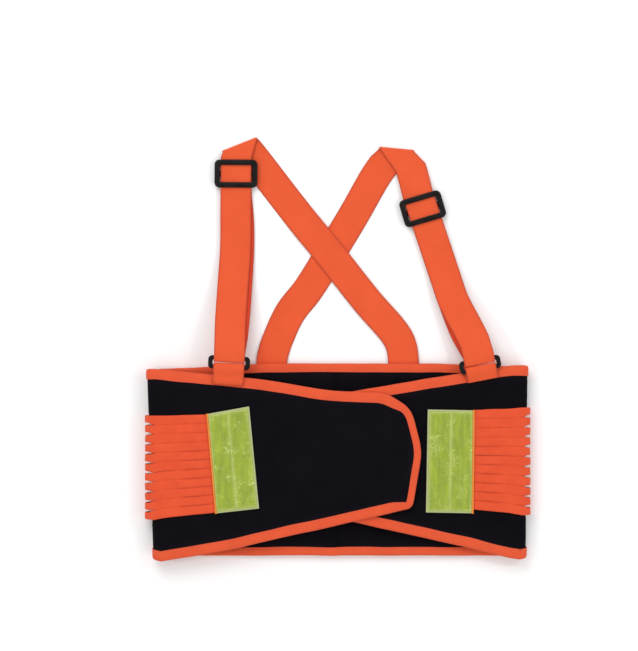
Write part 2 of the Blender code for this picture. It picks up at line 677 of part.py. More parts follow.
def main():
    for old in list(bpy.data.objects):
        bpy.data.objects.remove(old, do_unlink=True)

    flap_pivot = pivot("closure_flap_pivot", (CLOSURE_X, -120, LEFT_Z + PANEL / 2 + GAP + TAPE))
    under_pivot = pivot("under_flap_pivot", (UNDER_X, -120, RIGHT_Z + PANEL / 2 + GAP + TAPE))
    left_tab_pivot = pivot("left_tab_pivot", (*across_quad(LEFT_TAB, 0, 0.5), tab_top(LEFT_Z)))
    right_tab_pivot = pivot("right_tab_pivot", (*across_quad(RIGHT_TAB, 1, 0.5), tab_top(RIGHT_Z)))
    left_slide = pivot("left_adjuster_slide", (*LEFT_ADJUSTER, FRONT_STRAP_Z))
    right_slide = pivot("right_adjuster_slide", (*RIGHT_ADJUSTER, FRONT_STRAP_Z))

    body_fabric(flap_pivot, under_pivot)
    flap_fasteners(flap_pivot, under_pivot)
    stays()
    tension_bands()
    grip_tab("left", LEFT_TAB, LEFT_Z, left_tab_pivot)
    grip_tab("right", RIGHT_TAB, RIGHT_Z, right_tab_pivot)

    left_ring_run = Vector((-0.055, -1.0)).normalized()
    right_ring_run = Vector((0.191, -0.982)).normalized()
    left_ring, right_ring = (-119.1, -14.9), (156.2, -17.2)
    left_ring_z, right_ring_z = ring_height(LEFT_Z), ring_height(RIGHT_Z)
    ring("left", left_ring, left_ring_z, -3.1)
    ring("right", right_ring, right_ring_z, 11.0)
    strap_tab("left", left_ring, left_ring_run, left_ring_z, LEFT_Z + PANEL / 2, 22.0)
    strap_tab("right", right_ring, right_ring_run, right_ring_z, RIGHT_Z + PANEL / 2, 15.5)

    line = Vector(RIGHT_ADJUSTER)

    def down(distance, z):
        return (*(line + RIGHT_STRAP_RUN * distance), z)

    left_turn = strap(
        "left", left_ring, left_ring_run, left_ring_z,
        [(-118.2, 12, 26.5), (-117.6, 36, 19.5), (-115.2, 74, 9.5), (-112.8, 112, FRONT_STRAP_Z),
         (-112.5, 150, FRONT_STRAP_Z), (-112.2, 190, FRONT_STRAP_Z), (-112.0, 211, FRONT_STRAP_Z)],
        (-111.5, 226.0),
        [(-95.0, 205.6, STRAP_LOW_Z), (-52.0, 155.2, STRAP_LOW_Z), (-34.0, 134.5, STRAP_HIGH_Z),
         (-8.5, 104.8, STRAP_HIGH_Z), (31.6, 53.9, STRAP_HIGH_Z), (60.0, 21.5, STRAP_HIGH_Z),
         (70.0, 4.0, STRAP_HIGH_Z), (72.9, -18.7, STRAP_HIGH_Z), (73.0, -58.0, STRAP_HIGH_Z)],
    )
    right_turn = strap(
        "right", right_ring, right_ring_run, right_ring_z,
        [(150.4, 8, 20.5), (143.6, 22, 17.0), down(106, 10.5), down(78, 6.0), down(62, FRONT_STRAP_Z),
         down(30, FRONT_STRAP_Z), down(0, FRONT_STRAP_Z), down(-19, FRONT_STRAP_Z), (84.0, 186.0, 4.2),
         (79.0, 201.0, 3.4)],
        (65.5, 218.8),
        [(50.5, 203.0, STRAP_LOW_Z), (39.5, 186.5, STRAP_LOW_Z), (16.8, 146.3, STRAP_LOW_Z),
         (-8.5, 104.5, STRAP_LOW_Z), (-31.6, 67.1, STRAP_LOW_Z), (-52.0, 40.7, STRAP_LOW_Z),
         (-64.6, 14.3, STRAP_LOW_Z), (-71.5, -6.0, 1.8), (-72.9, -20.0, STRAP_HIGH_Z),
         (-73.0, -58.0, STRAP_HIGH_Z)],
    )
    return_strap(
        "left", left_turn, left_ring_run,
        [(-115.5, 14, 22.2), (-113.4, 36, 16.6), (-111.0, 74, 6.6), (-109.2, 112, RETURN_Z),
         (-109.4, 140, RETURN_Z), (-111.8, 170, RETURN_Z), (-112.2, 189.8, RETURN_Z)],
    )
    return_strap(
        "right", right_turn, right_ring_run,
        [(150.6, 9, 16.4), (143.9, 22, 13.6), down(106, 7.6), down(78, 3.6), down(62, RETURN_Z),
         down(30, RETURN_Z), down(3.6, RETURN_Z)],
    )
    adjuster("left", LEFT_ADJUSTER, -0.4, left_slide)
    adjuster("right", RIGHT_ADJUSTER, RIGHT_ADJUSTER_TILT, right_slide)


main()
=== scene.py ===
"""Looks of the lumbar support belt: black padded fabric bound in orange tape, ribbed orange
elastic, lime reflective grip tabs, crossed orange shoulder straps and black plastic hardware.

Lengths are written in millimetres in the CAD model's frame, and become metres in the meshes.
A surface's texture coordinates are also metres: across the piece, then along it.
"""

import math

import bmesh
import bpy
from mathutils import Matrix, Vector, noise


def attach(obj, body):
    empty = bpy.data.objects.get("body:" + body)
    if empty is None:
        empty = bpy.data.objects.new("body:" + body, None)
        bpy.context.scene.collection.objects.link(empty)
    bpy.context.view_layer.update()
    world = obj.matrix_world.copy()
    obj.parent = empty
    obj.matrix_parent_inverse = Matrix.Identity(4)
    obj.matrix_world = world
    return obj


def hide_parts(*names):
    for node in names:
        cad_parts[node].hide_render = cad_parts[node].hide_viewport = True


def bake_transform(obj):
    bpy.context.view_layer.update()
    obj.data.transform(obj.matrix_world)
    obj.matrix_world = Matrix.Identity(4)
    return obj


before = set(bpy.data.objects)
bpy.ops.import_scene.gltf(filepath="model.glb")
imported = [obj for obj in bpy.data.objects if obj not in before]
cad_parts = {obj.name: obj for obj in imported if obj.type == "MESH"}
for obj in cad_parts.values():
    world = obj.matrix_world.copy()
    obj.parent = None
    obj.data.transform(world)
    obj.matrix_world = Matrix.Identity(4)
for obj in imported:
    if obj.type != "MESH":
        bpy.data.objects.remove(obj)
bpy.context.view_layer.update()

MM = 0.001
GAP = 0.3  # between two pieces that lie on each other
UP = Vector((0, 0, 1))

# Fabric body.
PANEL = 3.0
BACK_Z, RIGHT_Z, LEFT_Z = 6.5, 16.5, 22.0
BACK_TOP, BACK_BOTTOM = -17.0, -227.0
LEFT_FOLD = ((-200.5, -22.9), (-193.5, -232.6))
RIGHT_FOLD = ((202.5, -18.8), (200.4, -230.3))
CLOSURE_X, UNDER_X = -82.0, 93.5
SQUEEZE = 3.6  # how far the elastic draws the side folds in
HINGE_REACH = 7.0  # the reach of the blend points to each side of a hinge
FLAP_STEPS, FRONT_STEPS, ARC_STEPS, BACK_STEPS, PANEL_ROWS = 64, 28, 12, 44, 46
HALF_OVERLAP = 0.02  # how far the two halves run past the middle of the back
SETTLING_FRAMES = 20
PADDED_CLOTH = {
    "quality": 5, "mass": 0.2, "tension_stiffness": 12.0, "compression_stiffness": 12.0,
    "shear_stiffness": 5.0, "bending_stiffness": 0.4, "shrink_min": -0.012, "use_pressure": True,
    "uniform_pressure_force": 2.2, "vertex_group_mass": "sewn",
}
FLAT_MIDDLE, FLAT_HALF = -126.0, 62.0  # the band of the fronts that the elastic holds flat
SOFT_REACH = 22.0  # how far from its tape the padding is fully soft
SWELL_MOST, SWELL_EASE, HOLLOW_MOST = 1.35, 1.6, 0.35
UNDER_FLAP_ROOM, UNDER_BAND_ROOM, INNER_FACE_ROOM = 0.12, 0.35, 0.12  # shares of the free swell
DYE_SHARE = 0.35  # of a fabric's colour that comes from its dye rather than its threads
PATH_STEP = 2.0  # between the points of a row of stitches round an outline

# Binding tape.
TAPE_WIDTH = 10.5
TAPE_OUT = PANEL / 2 + GAP + 0.6
TAPE_IN = PANEL / 2 + GAP
BACK_TAPE_WIDTH = 8.7
TIP_NARROWS_FROM, TIP_NARROWS_OVER, TIP_NARROWING = 58.0, 22.0, 0.33
STITCH_PITCH, STITCH_LENGTH = 3.4, 2.4

# Elastic tension bands.
BAND = 1.4
BAND_RIBS = 11
RIB_ROWS = (0.0, 0.05, 0.2, 0.5, 0.8, 0.95, 1.0)
RIB_CROWN = (0.45, 0.86, 0.98, 1.0, 0.98, 0.86, 0.45)
# RIB_SHADE: how far each row of a rib dips into the groove beside it, and how much painted shade darkens it
# there
RIB_SHADE = (1.0, 0.25, 0.0, 0.0, 0.0, 0.25, 1.0)
REAR_BAND_Z = BAND / 2
REAR_BAND_TALL = 113.0
REAR_JOIN = 10.0  # how far past the fold the ribs end
PATCH_HALF = 27.0  # half the centre back patch's width
LEFT_BAND_FOLD, RIGHT_BAND_FOLD = -199.4, 202.15
LEFT_BAND_ENDS, RIGHT_BAND_ENDS = (-73.2, -187.0), (-64.4, -182.6)  # top and bottom at the side fold
FOLD_CUTS, FRONT_CUTS = 18, 9  # in a band's half turn round the side fold and in its front run
SHUT = 0.10  # a slit between ribs that lie side by side
SEWN_IN, SEWN_OUT = -1.5, 1.2  # where the band leaves the grip tab's seam

# Grip tabs.
TAB, HOOK, REFLECTOR = 1.6, 0.8, 0.5
TAB_ACROSS, TAB_TALL = 48.0, 112.0
LEFT_TAB = ((-144.2, -71.3), (-97.2, -62.8), (-86.3, -174.8), (-134.6, -180.3))
RIGHT_TAB = ((98.8, -66.4), (150.6, -67.3), (149.2, -180.4), (96.8, -179.5))

# Shoulder straps and hardware.
WEBBING = 1.4
STRAP_WIDTH = 34.0
LOW_Z, HIGH_Z, FRONT_Z, RETURN_Z = 0.9, 2.5, 5.0, 2.6
SHOULDER_R = 1.1
STRAP_TAB = 1.2
RING_SIZE, RING_WINDOW, RING_THICK = (46.0, 14.8), (36.0, 5.4), 2.6
ADJUSTER_SIZE, ADJUSTER_WINDOW, ADJUSTER_BAR = (47.6, 31.0), 36.0, 6.1
ADJUSTER_Z, ADJUSTER_BAR_THICK = (1.8, 8.2), 2.2
LEFT_ADJUSTER, RIGHT_ADJUSTER = (-112.2, 193.4), (93.8, 154.6)
RIGHT_RUN = Vector((0.3156, -0.9489))
ROUTE_STEP = 5.0
UNDER_LEG, OVER_LEG = 6.0, 9.0  # the strap's straight legs under and over a ring's bar

# Stays.
STAY_X = (-128.0, -30.0, 30.0, 128.0)
CASING_LENGTH, CASING_Z = 188.0, 1.7

# Stage, in metres.
FLOOR_REACH = 6.0
CAMERA = (-0.0206, 0.02585, 3.0)
BELT_MIDDLE = 0.015  # the height of the belt's middle above the floor
VIEW_TALL = 0.7161  # what the picture takes in, top to bottom, at that height


# ---------------------------------------------------------------- node materials


def node(tree, kind, inputs=None, **settings):
    """A shader node with its settings, and its inputs as values or links."""
    made = tree.nodes.new("ShaderNode" + kind)
    for key, value in settings.items():
        setattr(made, key, value)
    for key, value in (inputs or {}).items():
        if isinstance(value, bpy.types.NodeSocket):
            tree.links.new(value, made.inputs[key])
        else:
            made.inputs[key].default_value = value
    return made


def blank(name, **uniform):
    """A Principled material and its tree, with the values that are the same all over it."""
    made = bpy.data.materials.new(name)
    made.use_nodes = True
    shader = made.node_tree.nodes["Principled BSDF"]
    for key, value in uniform.items():
        shader.inputs[key.replace("_", " ").title().replace("Ior", "IOR")].default_value = value
    return made, made.node_tree, shader


def stripes(tree, vector, axis, pitch, distortion=0.0):
    """Even stripes of this pitch in metres across one texture axis."""
    return node(
        tree, "TexWave",
        {"Vector": vector, "Scale": math.pi / 10 / pitch, "Distortion": distortion,
         "Detail": 1.0, "Detail Scale": 1.2},
        wave_type="BANDS", bands_direction=axis,
    ).outputs["Fac"]


def grain(tree, vector, scale, detail=2.0, roughness=0.55):
    return node(
        tree, "TexNoise",
        {"Vector": vector, "Scale": scale, "Detail": detail, "Roughness": roughness},
    ).outputs["Fac"]


def arithmetic(tree, operation, a, b):
    return node(tree, "Math", {0: a, 1: b}, operation=operation).outputs[0]


def span_to(tree, value, low, high, to_low=0.0, to_high=1.0):
    """The value stretched from one range to another, held at its ends."""
    keys = {"Value": value, "From Min": low, "From Max": high, "To Min": to_low, "To Max": to_high}
    return node(tree, "MapRange", keys).outputs["Result"]


def multiply(tree, a, b):
    return arithmetic(tree, "MULTIPLY", a, b)


def uv_of(tree, turn=0, stretch=1.0):
    """The texture coordinates, turned by degrees or scaled along the piece."""
    uv = node(tree, "UVMap", uv_map="UVMap").outputs["UV"]
    keys = {"Vector": uv, "Rotation": (0.0, 0.0, math.radians(turn)), "Scale": (1.0, stretch, 1.0)}
    return node(tree, "Mapping", keys).outputs["Vector"] if turn or stretch != 1.0 else uv


# The mask of edge wear and painted shade that each piece carries: it lightens worn edges on some pieces, and
# paints shade into grooves and along edges on others.
def wear_and_shade_mask(tree):
    return node(tree, "Attribute", attribute_name="wear_and_shade").outputs["Fac"]


def blend_colours(tree, share, first, second):
    made = node(tree, "Mix", {0: share}, data_type="RGBA", blend_type="MIX")
    for slot, colour in ((6, first), (7, second)):
        if isinstance(colour, bpy.types.NodeSocket):
            tree.links.new(colour, made.inputs[slot])
        else:
            made.inputs[slot].default_value = (*colour, 1.0)
    return made.outputs[2]


def raised(tree, height, distance, strength=1.0, under=None):
    """A bump of this depth in millimetres, over another when there is one."""
    keys = {"Height": height, "Distance": distance * MM, "Strength": strength}
    if under is not None:
        keys["Normal"] = under
    return node(tree, "Bump", keys).outputs["Normal"]


def finish(tree, shader, colour, roughness, normal):
    for name, value in (("Base Color", colour), ("Roughness", roughness), ("Normal", normal)):
        tree.links.new(value, shader.inputs[name])


def cloth(name, dark, light, weave, pitch, depth, rough, specular=0.15, sheen=0.0, tint=(1, 1, 1),
          *, worn_and_shaded, mottle=45.0):
    """Woven or knitted fabric: two thread directions, stray fuzz, uneven dye, and a second colour laid on by
    the mask of wear and painted shade: worn edges on some pieces, painted shade along edges and in grooves on
    others.
    """
    made, tree, shader = blank(
        name, specular_ior_level=specular, sheen_weight=sheen, sheen_roughness=0.5,
        sheen_tint=(*tint, 1.0),
    )
    uv = uv_of(tree)
    across, along = (stripes(tree, uv, axis, gap * MM, 0.5) for axis, gap in zip("XY", pitch))
    if weave == "plain":
        threads = multiply(tree, across, along)
    elif weave == "rib":
        threads = multiply(tree, along, arithmetic(tree, "MAXIMUM", across, 0.62))
    elif weave == "cord":
        threads = multiply(tree, across, arithmetic(tree, "MAXIMUM", along, 0.62))
    elif weave == "twill":
        slanted = stripes(tree, uv_of(tree, 45), "X", pitch[0] * MM, 0.4)
        threads = multiply(tree, slanted, arithmetic(tree, "MAXIMUM", along, 0.55))
    else:
        cells = node(tree, "TexVoronoi", {"Vector": uv, "Scale": 1.0 / (pitch[0] * MM)})
        threads = span_to(tree, cells.outputs["Distance"], 0.0, 0.7, 1.0, 0.0)
    fuzz = grain(tree, uv, 1600.0, 3.0, 0.7)
    dye = grain(tree, uv, mottle, 4.0)
    share = arithmetic(tree, "ADD", multiply(tree, threads, 1.0 - DYE_SHARE),
                       multiply(tree, span_to(tree, dye, 0.3, 0.7), DYE_SHARE))
    patchy = multiply(tree, wear_and_shade_mask(tree), span_to(tree, fuzz, 0.3, 0.6, 0.45, 1.0))
    colour = blend_colours(tree, patchy, blend_colours(tree, share, dark, light), worn_and_shaded)
    rumple = raised(tree, dye, 0.5, 0.35)
    fluff = raised(tree, fuzz, depth * 0.5, 0.6, rumple)
    finish(tree, shader, colour, span_to(tree, fuzz, 0.3, 0.7, *rough),
           raised(tree, threads, depth, 0.9, fluff))
    return made


def glossy_film(name, dark, light, pale_and_highlight):
    """Reflective PVC film: an embossed diamond grid under a clear, creased, shiny skin, with pale curls
    painted on its creases as highlights.
    """
    made, tree, shader = blank(
        name, specular_ior_level=0.55, coat_weight=0.55, coat_roughness=0.08, coat_ior=1.45,
    )
    uv, streak = uv_of(tree), uv_of(tree, stretch=0.16)
    prisms = multiply(tree, *(stripes(tree, uv_of(tree, turn), "X", 1.9 * MM) for turn in (60, -60)))
    shade = grain(tree, streak, 210.0, 3.0)
    blotch = grain(tree, uv, 70.0, 5.0, 0.62)
    colour = blend_colours(tree, span_to(tree, shade, 0.32, 0.68), dark, light)
    colour = blend_colours(tree, span_to(tree, blotch, 0.56, 0.72, 0.0, 0.22), colour, pale_and_highlight)
    colour = blend_colours(tree, span_to(tree, prisms, 0.0, 1.0, 0.14, 0.0), colour, dark)
    keys = {"Vector": uv, "Scale": 150.0, "Detail": 2.0, "Distortion": 1.8}
    wrap = node(tree, "TexNoise", keys).outputs["Fac"]
    creases = span_to(tree, wrap, 0.46, 0.54)
    # pale curls along the crease lines: painted highlights
    line = arithmetic(tree, "ABSOLUTE", arithmetic(tree, "SUBTRACT", wrap, 0.5), 0.0)
    patches = span_to(tree, grain(tree, uv, 60.0, 1.0), 0.53, 0.60)
    painted_glints = multiply(tree, span_to(tree, line, 0.006, 0.02, 1.0, 0.0), patches)
    colour = blend_colours(tree, multiply(tree, painted_glints, 0.85), colour, pale_and_highlight)
    folds = grain(tree, streak, 120.0, 2.0)
    # the film's edges made paler
    colour = blend_colours(tree, multiply(tree, wear_and_shade_mask(tree), 0.5), colour, pale_and_highlight)
    relief = raised(tree, creases, 0.55, 0.6, raised(tree, folds, 1.3, 0.5))
    finish(tree, shader, colour, span_to(tree, blotch, 0.3, 0.7, 0.14, 0.34),
           raised(tree, prisms, 0.10, 0.5, relief))
    return made


def moulding(name, dark, light, rough):
    """Moulded plastic: a fine spark-eroded grain, faint flow marks and edges made lighter in patches."""
    made, tree, shader = blank(name, specular_ior_level=0.13)
    uv = uv_of(tree)
    flow = grain(tree, uv, 60.0, 3.0)
    texture = grain(tree, uv, 2600.0, 2.0)
    lighter_edges = multiply(tree, wear_and_shade_mask(tree), span_to(tree, flow, 0.4, 0.65))
    colour = blend_colours(tree, span_to(tree, flow, 0.35, 0.65), dark, light)
    lighter = tuple(min(1.0, 2.4 * c + 0.01) for c in light)
    finish(tree, shader, blend_colours(tree, lighter_edges, colour, lighter),
           span_to(tree, flow, 0.3, 0.7, rough, rough + 0.14),
           raised(tree, texture, 0.05, 0.6, raised(tree, flow, 0.25, 0.2)))
    return made


def thread(name, dark, light):
    """Twisted sewing thread."""
    made, tree, shader = blank(name, specular_ior_level=0.3, sheen_weight=0.1)
    plies = stripes(tree, uv_of(tree, 35), "Y", 0.35 * MM)
    fibre = grain(tree, uv_of(tree), 3000.0)
    finish(tree, shader, blend_colours(tree, plies, dark, light),
           span_to(tree, fibre, 0.3, 0.7, 0.5, 0.75), raised(tree, plies, 0.08, 0.8))
    return made


def cad_plastic(name):
    """The stays' pale plastic, textured from the object's own coordinates."""
    made, tree, shader = blank(name, specular_ior_level=0.45)
    place = node(tree, "TexCoord").outputs["Object"]
    cloudy = grain(tree, place, 40.0, 3.0)
    drawn_out = node(tree, "Mapping", {"Vector": place, "Scale": (1, 0.03, 1)}).outputs[0]
    scratches = grain(tree, drawn_out, 1500.0)
    finish(tree, shader, blend_colours(tree, cloudy, (0.62, 0.62, 0.58), (0.8, 0.8, 0.77)),
           span_to(tree, cloudy, 0.3, 0.7, 0.3, 0.5), raised(tree, scratches, 0.04))
    return made


LOOKS = {
    "panel": cloth("padded_knit", (0.0015, 0.0013, 0.0022), (0.0062, 0.0052, 0.0078), "rib", (1.3, 0.9), 0.14,
                   (0.84, 0.97), 0.05, 0.014, (0.75, 0.75, 0.9), worn_and_shaded=(0.008, 0.007, 0.010), mottle=28.0),
    # the binding's second colour is painted shade along the tape's edges
    "binding": cloth("binding_tape", (0.64, 0.076, 0.027), (0.84, 0.116, 0.040), "rib", (1.1, 0.75), 0.12,
                     (0.70, 0.86), 0.14, 0.10, (1.0, 0.72, 0.6), worn_and_shaded=(0.62, 0.085, 0.045), mottle=38.0),
    # the elastic's second colour is painted shade, laid in the grooves between its ribs and along the rear
    # lengths' edges
    "elastic": cloth("ribbed_elastic", (0.66, 0.068, 0.024), (0.87, 0.110, 0.036), "rib", (1.0, 0.7), 0.14,
                     (0.68, 0.84), 0.14, 0.10, (1.0, 0.7, 0.6), worn_and_shaded=(0.50, 0.045, 0.018), mottle=60.0),
    # the webbing's second colour is painted shade along the strap's selvages
    "webbing": cloth("strap_webbing", (0.67, 0.082, 0.025), (0.86, 0.118, 0.036), "twill", (0.9, 0.8), 0.13,
                     (0.66, 0.82), 0.15, 0.10, (1.0, 0.75, 0.62), worn_and_shaded=(0.42, 0.05, 0.026), mottle=26.0),
    # the return webbing is the strap webbing painted darker, as shade on the layer that lies under the front
    # strap
    "return": cloth("shaded_return_webbing", (0.60, 0.05, 0.018), (0.80, 0.074, 0.025), "twill", (0.9, 0.8), 0.13,
                    (0.7, 0.85), 0.12, 0.06, (1.0, 0.7, 0.6), worn_and_shaded=(0.36, 0.035, 0.02), mottle=26.0),
    "tab_backing": cloth("tab_fabric", (0.30, 0.34, 0.10), (0.47, 0.52, 0.20), "plain", (0.8, 0.8), 0.08,
                         (0.5, 0.7), 0.3, 0.05, (1, 1, 0.8), worn_and_shaded=(0.52, 0.55, 0.30)),
    "seam_strip": cloth("seam_strip", (0.72, 0.22, 0.030), (0.86, 0.33, 0.045), "plain", (0.8, 0.8), 0.10,
                        (0.55, 0.75), 0.2, 0.06, (1, 0.9, 0.6), worn_and_shaded=(0.62, 0.16, 0.03)),
    "hook": cloth("hook_tape", (0.004, 0.004, 0.005), (0.022, 0.021, 0.024), "cells", (1.3, 1.3), 0.5,
                  (0.45, 0.7), 0.3, worn_and_shaded=(0.01, 0.01, 0.011)),
    "loop": cloth("loop_pile", (0.004, 0.004, 0.0045), (0.017, 0.016, 0.019), "cells", (0.9, 0.9), 0.45,
                  (0.92, 1.0), 0.08, 0.25, (0.8, 0.8, 0.9), worn_and_shaded=(0.008, 0.008, 0.009)),
    "casing": cloth("casing_tricot", (0.005, 0.0045, 0.0055), (0.013, 0.012, 0.015), "cord", (0.9, 0.9), 0.12,
                    (0.75, 0.9), 0.14, 0.04, (0.8, 0.8, 0.9), worn_and_shaded=(0.016, 0.015, 0.018)),
    "reflector": glossy_film("reflective_film", (0.215, 0.30, 0.008), (0.33, 0.43, 0.012),
                             (0.72, 0.82, 0.24)),
    "plastic": moulding("black_plastic", (0.0035, 0.003, 0.003), (0.009, 0.007, 0.007), 0.30),
    "orange_thread": thread("orange_thread", (0.62, 0.07, 0.025), (0.95, 0.17, 0.06)),
    "olive_thread": thread("olive_thread", (0.30, 0.36, 0.07), (0.50, 0.58, 0.16)),
    "black_thread": thread("black_thread", (0.005, 0.005, 0.006), (0.02, 0.02, 0.022)),
}


# ---------------------------------------------------------------- shapes


def smoothstep(x):
    x = min(max(x, 0.0), 1.0)
    return x * x * (3 - 2 * x)


def ripple(x, y, seed, size):
    """Smooth unevenness from -1 to 1 with bumps of about this size."""
    return noise.noise(Vector((x / size, y / size, seed * 7.31)))


def rounded(corners, step=15.0):
    """An outline from (x, y, radius) corners, with an arc at each corner that has a radius."""
    points = []
    for i, (x, y, radius) in enumerate(corners):
        corner = Vector((x, y))
        if not radius:
            points.append(corner)
            continue
        before = (Vector(corners[i - 1][:2]) - corner).normalized()
        after = (Vector(corners[(i + 1) % len(corners)][:2]) - corner).normalized()
        half = before.angle(after) / 2
        centre = corner + (before + after).normalized() * (radius / math.sin(half))
        start = corner + before * (radius / math.tan(half)) - centre
        turn = start.angle_signed(corner + after * (radius / math.tan(half)) - centre)
        steps = max(1, math.ceil(abs(math.degrees(turn)) / step))
        for k in range(steps + 1):
            points.append(centre + Matrix.Rotation(-turn * k / steps, 2) @ start)
    return points


def smooth(route, step):
    """Points at about this spacing on a smooth curve through the route."""
    route = [Vector(point) for point in route]
    ends = [2 * route[0] - route[1], *route, 2 * route[-1] - route[-2]]
    points = [route[0]]
    for a, b, c, d in zip(ends, ends[1:], ends[2:], ends[3:]):
        cuts = max(1, round((c - b).length / step))
        for k in range(1, cuts + 1):
            t = k / cuts
            bend = (2 * a - 5 * b + 4 * c - d) * t * t + (3 * b - a - 3 * c + d) * t ** 3
            points.append(0.5 * (2 * b + (c - a) * t + bend))
    return points


def height_at(line, x):
    """The y of a line of 2-D points at this x."""
    for a, b in zip(line, line[1:]):
        if min(a.x, b.x) - 1e-6 <= x <= max(a.x, b.x) + 1e-6 and a.x != b.x:
            return a.y + (b.y - a.y) * (x - a.x) / (b.x - a.x)
    nearest = min(line, key=lambda p: abs(p.x - x))
    return nearest.y


def crossings(outline, x):
    """Lowest and highest y of an outline at this x."""
    found = []
    for a, b in zip(outline, outline[1:] + outline[:1]):
        if (a.x - x) * (b.x - x) <= 0 and abs(a.x - b.x) > 1e-9:
            found.append(a.y + (b.y - a.y) * (x - a.x) / (b.x - a.x))
    return min(found), max(found)


def edge_distance(outline, point):
    """How far a point is from an outline."""
    best = 1e9
    for a, b in zip(outline, outline[1:] + outline[:1]):
        side = b - a
        t = min(max((point - a).dot(side) / max(side.length_squared, 1e-9), 0.0), 1.0)
        best = min(best, (a + side * t - point).length)
    return best


def spaced(low, high, step, edge):
    """Positions from low to high, closer together near both ends."""
    inner = max(1, round((high - low - 2 * edge) / step))
    middle = [low + edge + (high - low - 2 * edge) * k / inner for k in range(inner + 1)]
    return [low, low + 0.1 * edge, low + 0.4 * edge, *middle, high - 0.4 * edge, high - 0.1 * edge, high]


def shown(name, data):
    """A new object with this data, in the scene."""
    made = bpy.data.objects.new(name, data)
    bpy.context.scene.collection.objects.link(made)
    return made


def piece(name, surface, points, faces, uv, wear_and_shade, stands_for=(), slot=None):
    """An object from points in millimetres, with its texture coordinates and its mask of edge wear and
    painted shade.
    """
    data = bpy.data.meshes.new(name)
    data.from_pydata([p * MM for p in points], [], faces)
    flat = [c * MM for face in faces for i in face for c in uv[i]]
    data.uv_layers.new(name="UVMap").data.foreach_set("uv", flat)
    data.attributes.new("wear_and_shade", "FLOAT", "POINT").data.foreach_set("value", wear_and_shade)
    data.materials.append(LOOKS[surface])
    shell = bmesh.new()
    shell.from_mesh(data)
    bmesh.ops.recalc_face_normals(shell, faces=shell.faces[:])
    shell.to_mesh(data)
    shell.free()
    data.shade_smooth()
    made = shown(name, data)
    if stands_for:
        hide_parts(*stands_for)
    return made


def two_skins(columns, missing=()):
    """Points and faces of a sheet from its columns. A column lists its (point, normal) cells, how
    far the skins lie above and below them, uv, and its mask of wear and painted shade. missing holds the
    cells left open."""
    grid, above, below, uv, wear_and_shade = zip(*columns)
    n, m = len(grid), len(grid[0])
    points = [p + q * above[i][j] for i, column in enumerate(grid) for j, (p, q) in enumerate(column)]
    points += [p - q * below[i][j] for i, column in enumerate(grid) for j, (p, q) in enumerate(column)]
    cell = {(i, j) for i in range(n - 1) for j in range(m - 1)} - set(missing)
    faces = []
    for i, j in sorted(cell):
        ring = (i * m + j, (i + 1) * m + j, (i + 1) * m + j + 1, i * m + j + 1)
        under = [k + n * m for k in ring]
        faces.append(ring)
        faces.append(under[::-1])
        beyond = ((i, j - 1), (i + 1, j), (i, j + 1), (i - 1, j))
        for k in range(4):
            if beyond[k] not in cell:
                a, b = ring[k], ring[(k + 1) % 4]
                faces.append((b, a, a + n * m, b + n * m))
    used = sorted({i for face in faces for i in face})
    place = {old: new for new, old in enumerate(used)}
    flat_uv = [c for column in uv for c in column] * 2
    flat_wear = [c for column in wear_and_shade for c in column] * 2
    return (
        [points[i] for i in used],
        [tuple(place[i] for i in face) for face in faces],
        [flat_uv[i] for i in used],
        [flat_wear[i] for i in used],
    )


def tube(n, m, start=0, stride=None, closed=False):
    """Faces of a tube through n rings of m points."""
    stride = stride or m
    faces = []
    for i in range(n if closed else n - 1):
        here, there = start + i * stride, start + (i + 1) % n * stride
        faces += [(here + j, here + (j + 1) % m, there + (j + 1) % m, there + j) for j in range(m)]
    return faces


def loft(rings, lengths, wear_and_shade):
    """Points and faces through closed rings, with the ring's girth and the length as texture."""
    m = len(rings[0])
    points, uv, worn_and_shaded = [], [], []
    for ring, length in zip(rings, lengths):
        girth = 0.0
        for j, p in enumerate(ring):
            girth += (p - ring[j - 1]).length if j else 0.0
            points.append(p)
            uv.append((girth, length))
            worn_and_shaded.append(wear_and_shade[j])
    faces = tube(len(rings), m)
    faces.append(tuple(range(m))[::-1])
    faces.append(tuple(range((len(rings) - 1) * m, len(rings) * m)))
    return points, faces, uv, worn_and_shaded


def merged(parts):
    """Several (points, faces, uv, wear) as one."""
    points, faces, uv, wear_and_shade = [], [], [], []
    for p, f, t, w in parts:
        start = len(points)
        points += p
        faces += [tuple(i + start for i in face) for face in f]
        uv += t
        wear_and_shade += w
    return points, faces, uv, wear_and_shade


def stitches(path, pitch=STITCH_PITCH, length=STITCH_LENGTH, width=0.55, high=0.34):
    """Raised stitches at even steps along a path of (point, normal)."""
    lengths = [0.0]
    for (a, _), (b, _) in zip(path, path[1:]):
        lengths.append(lengths[-1] + (b - a).length)
    parts, at, k = [], 0.6, 0
    while at + length < lengths[-1]:
        middle = at + length / 2
        while k < len(path) - 2 and lengths[k + 1] < middle:
            k += 1
        (a, n0), (b, n1) = path[k], path[k + 1]
        t = (middle - lengths[k]) / max(lengths[k + 1] - lengths[k], 1e-9)
        centre, normal = a.lerp(b, t), n0.lerp(n1, t).normalized()
        run = (b - a).normalized()
        side = normal.cross(run).normalized()
        rings, stations = [], (-0.5, -0.34, 0.0, 0.34, 0.5)
        for s, r in zip(stations, (0.28, 0.8, 1.0, 0.8, 0.28)):
            sunk = high * (0.62 * r - 0.5)
            spot = centre + run * (s * length) + normal * sunk
            rings.append([
                spot + side * (math.cos(q) * width / 2 * r) + normal * (math.sin(q) * high / 2 * r)
                for q in (0, math.pi / 3, 2 * math.pi / 3, math.pi, 4 * math.pi / 3, 5 * math.pi / 3)
            ])
        parts.append(loft(rings, [at + (s + 0.5) * length for s in stations], [0.0] * 6))
        at += pitch
    return merged(parts)


# ---------------------------------------------------------------- padded fabric body


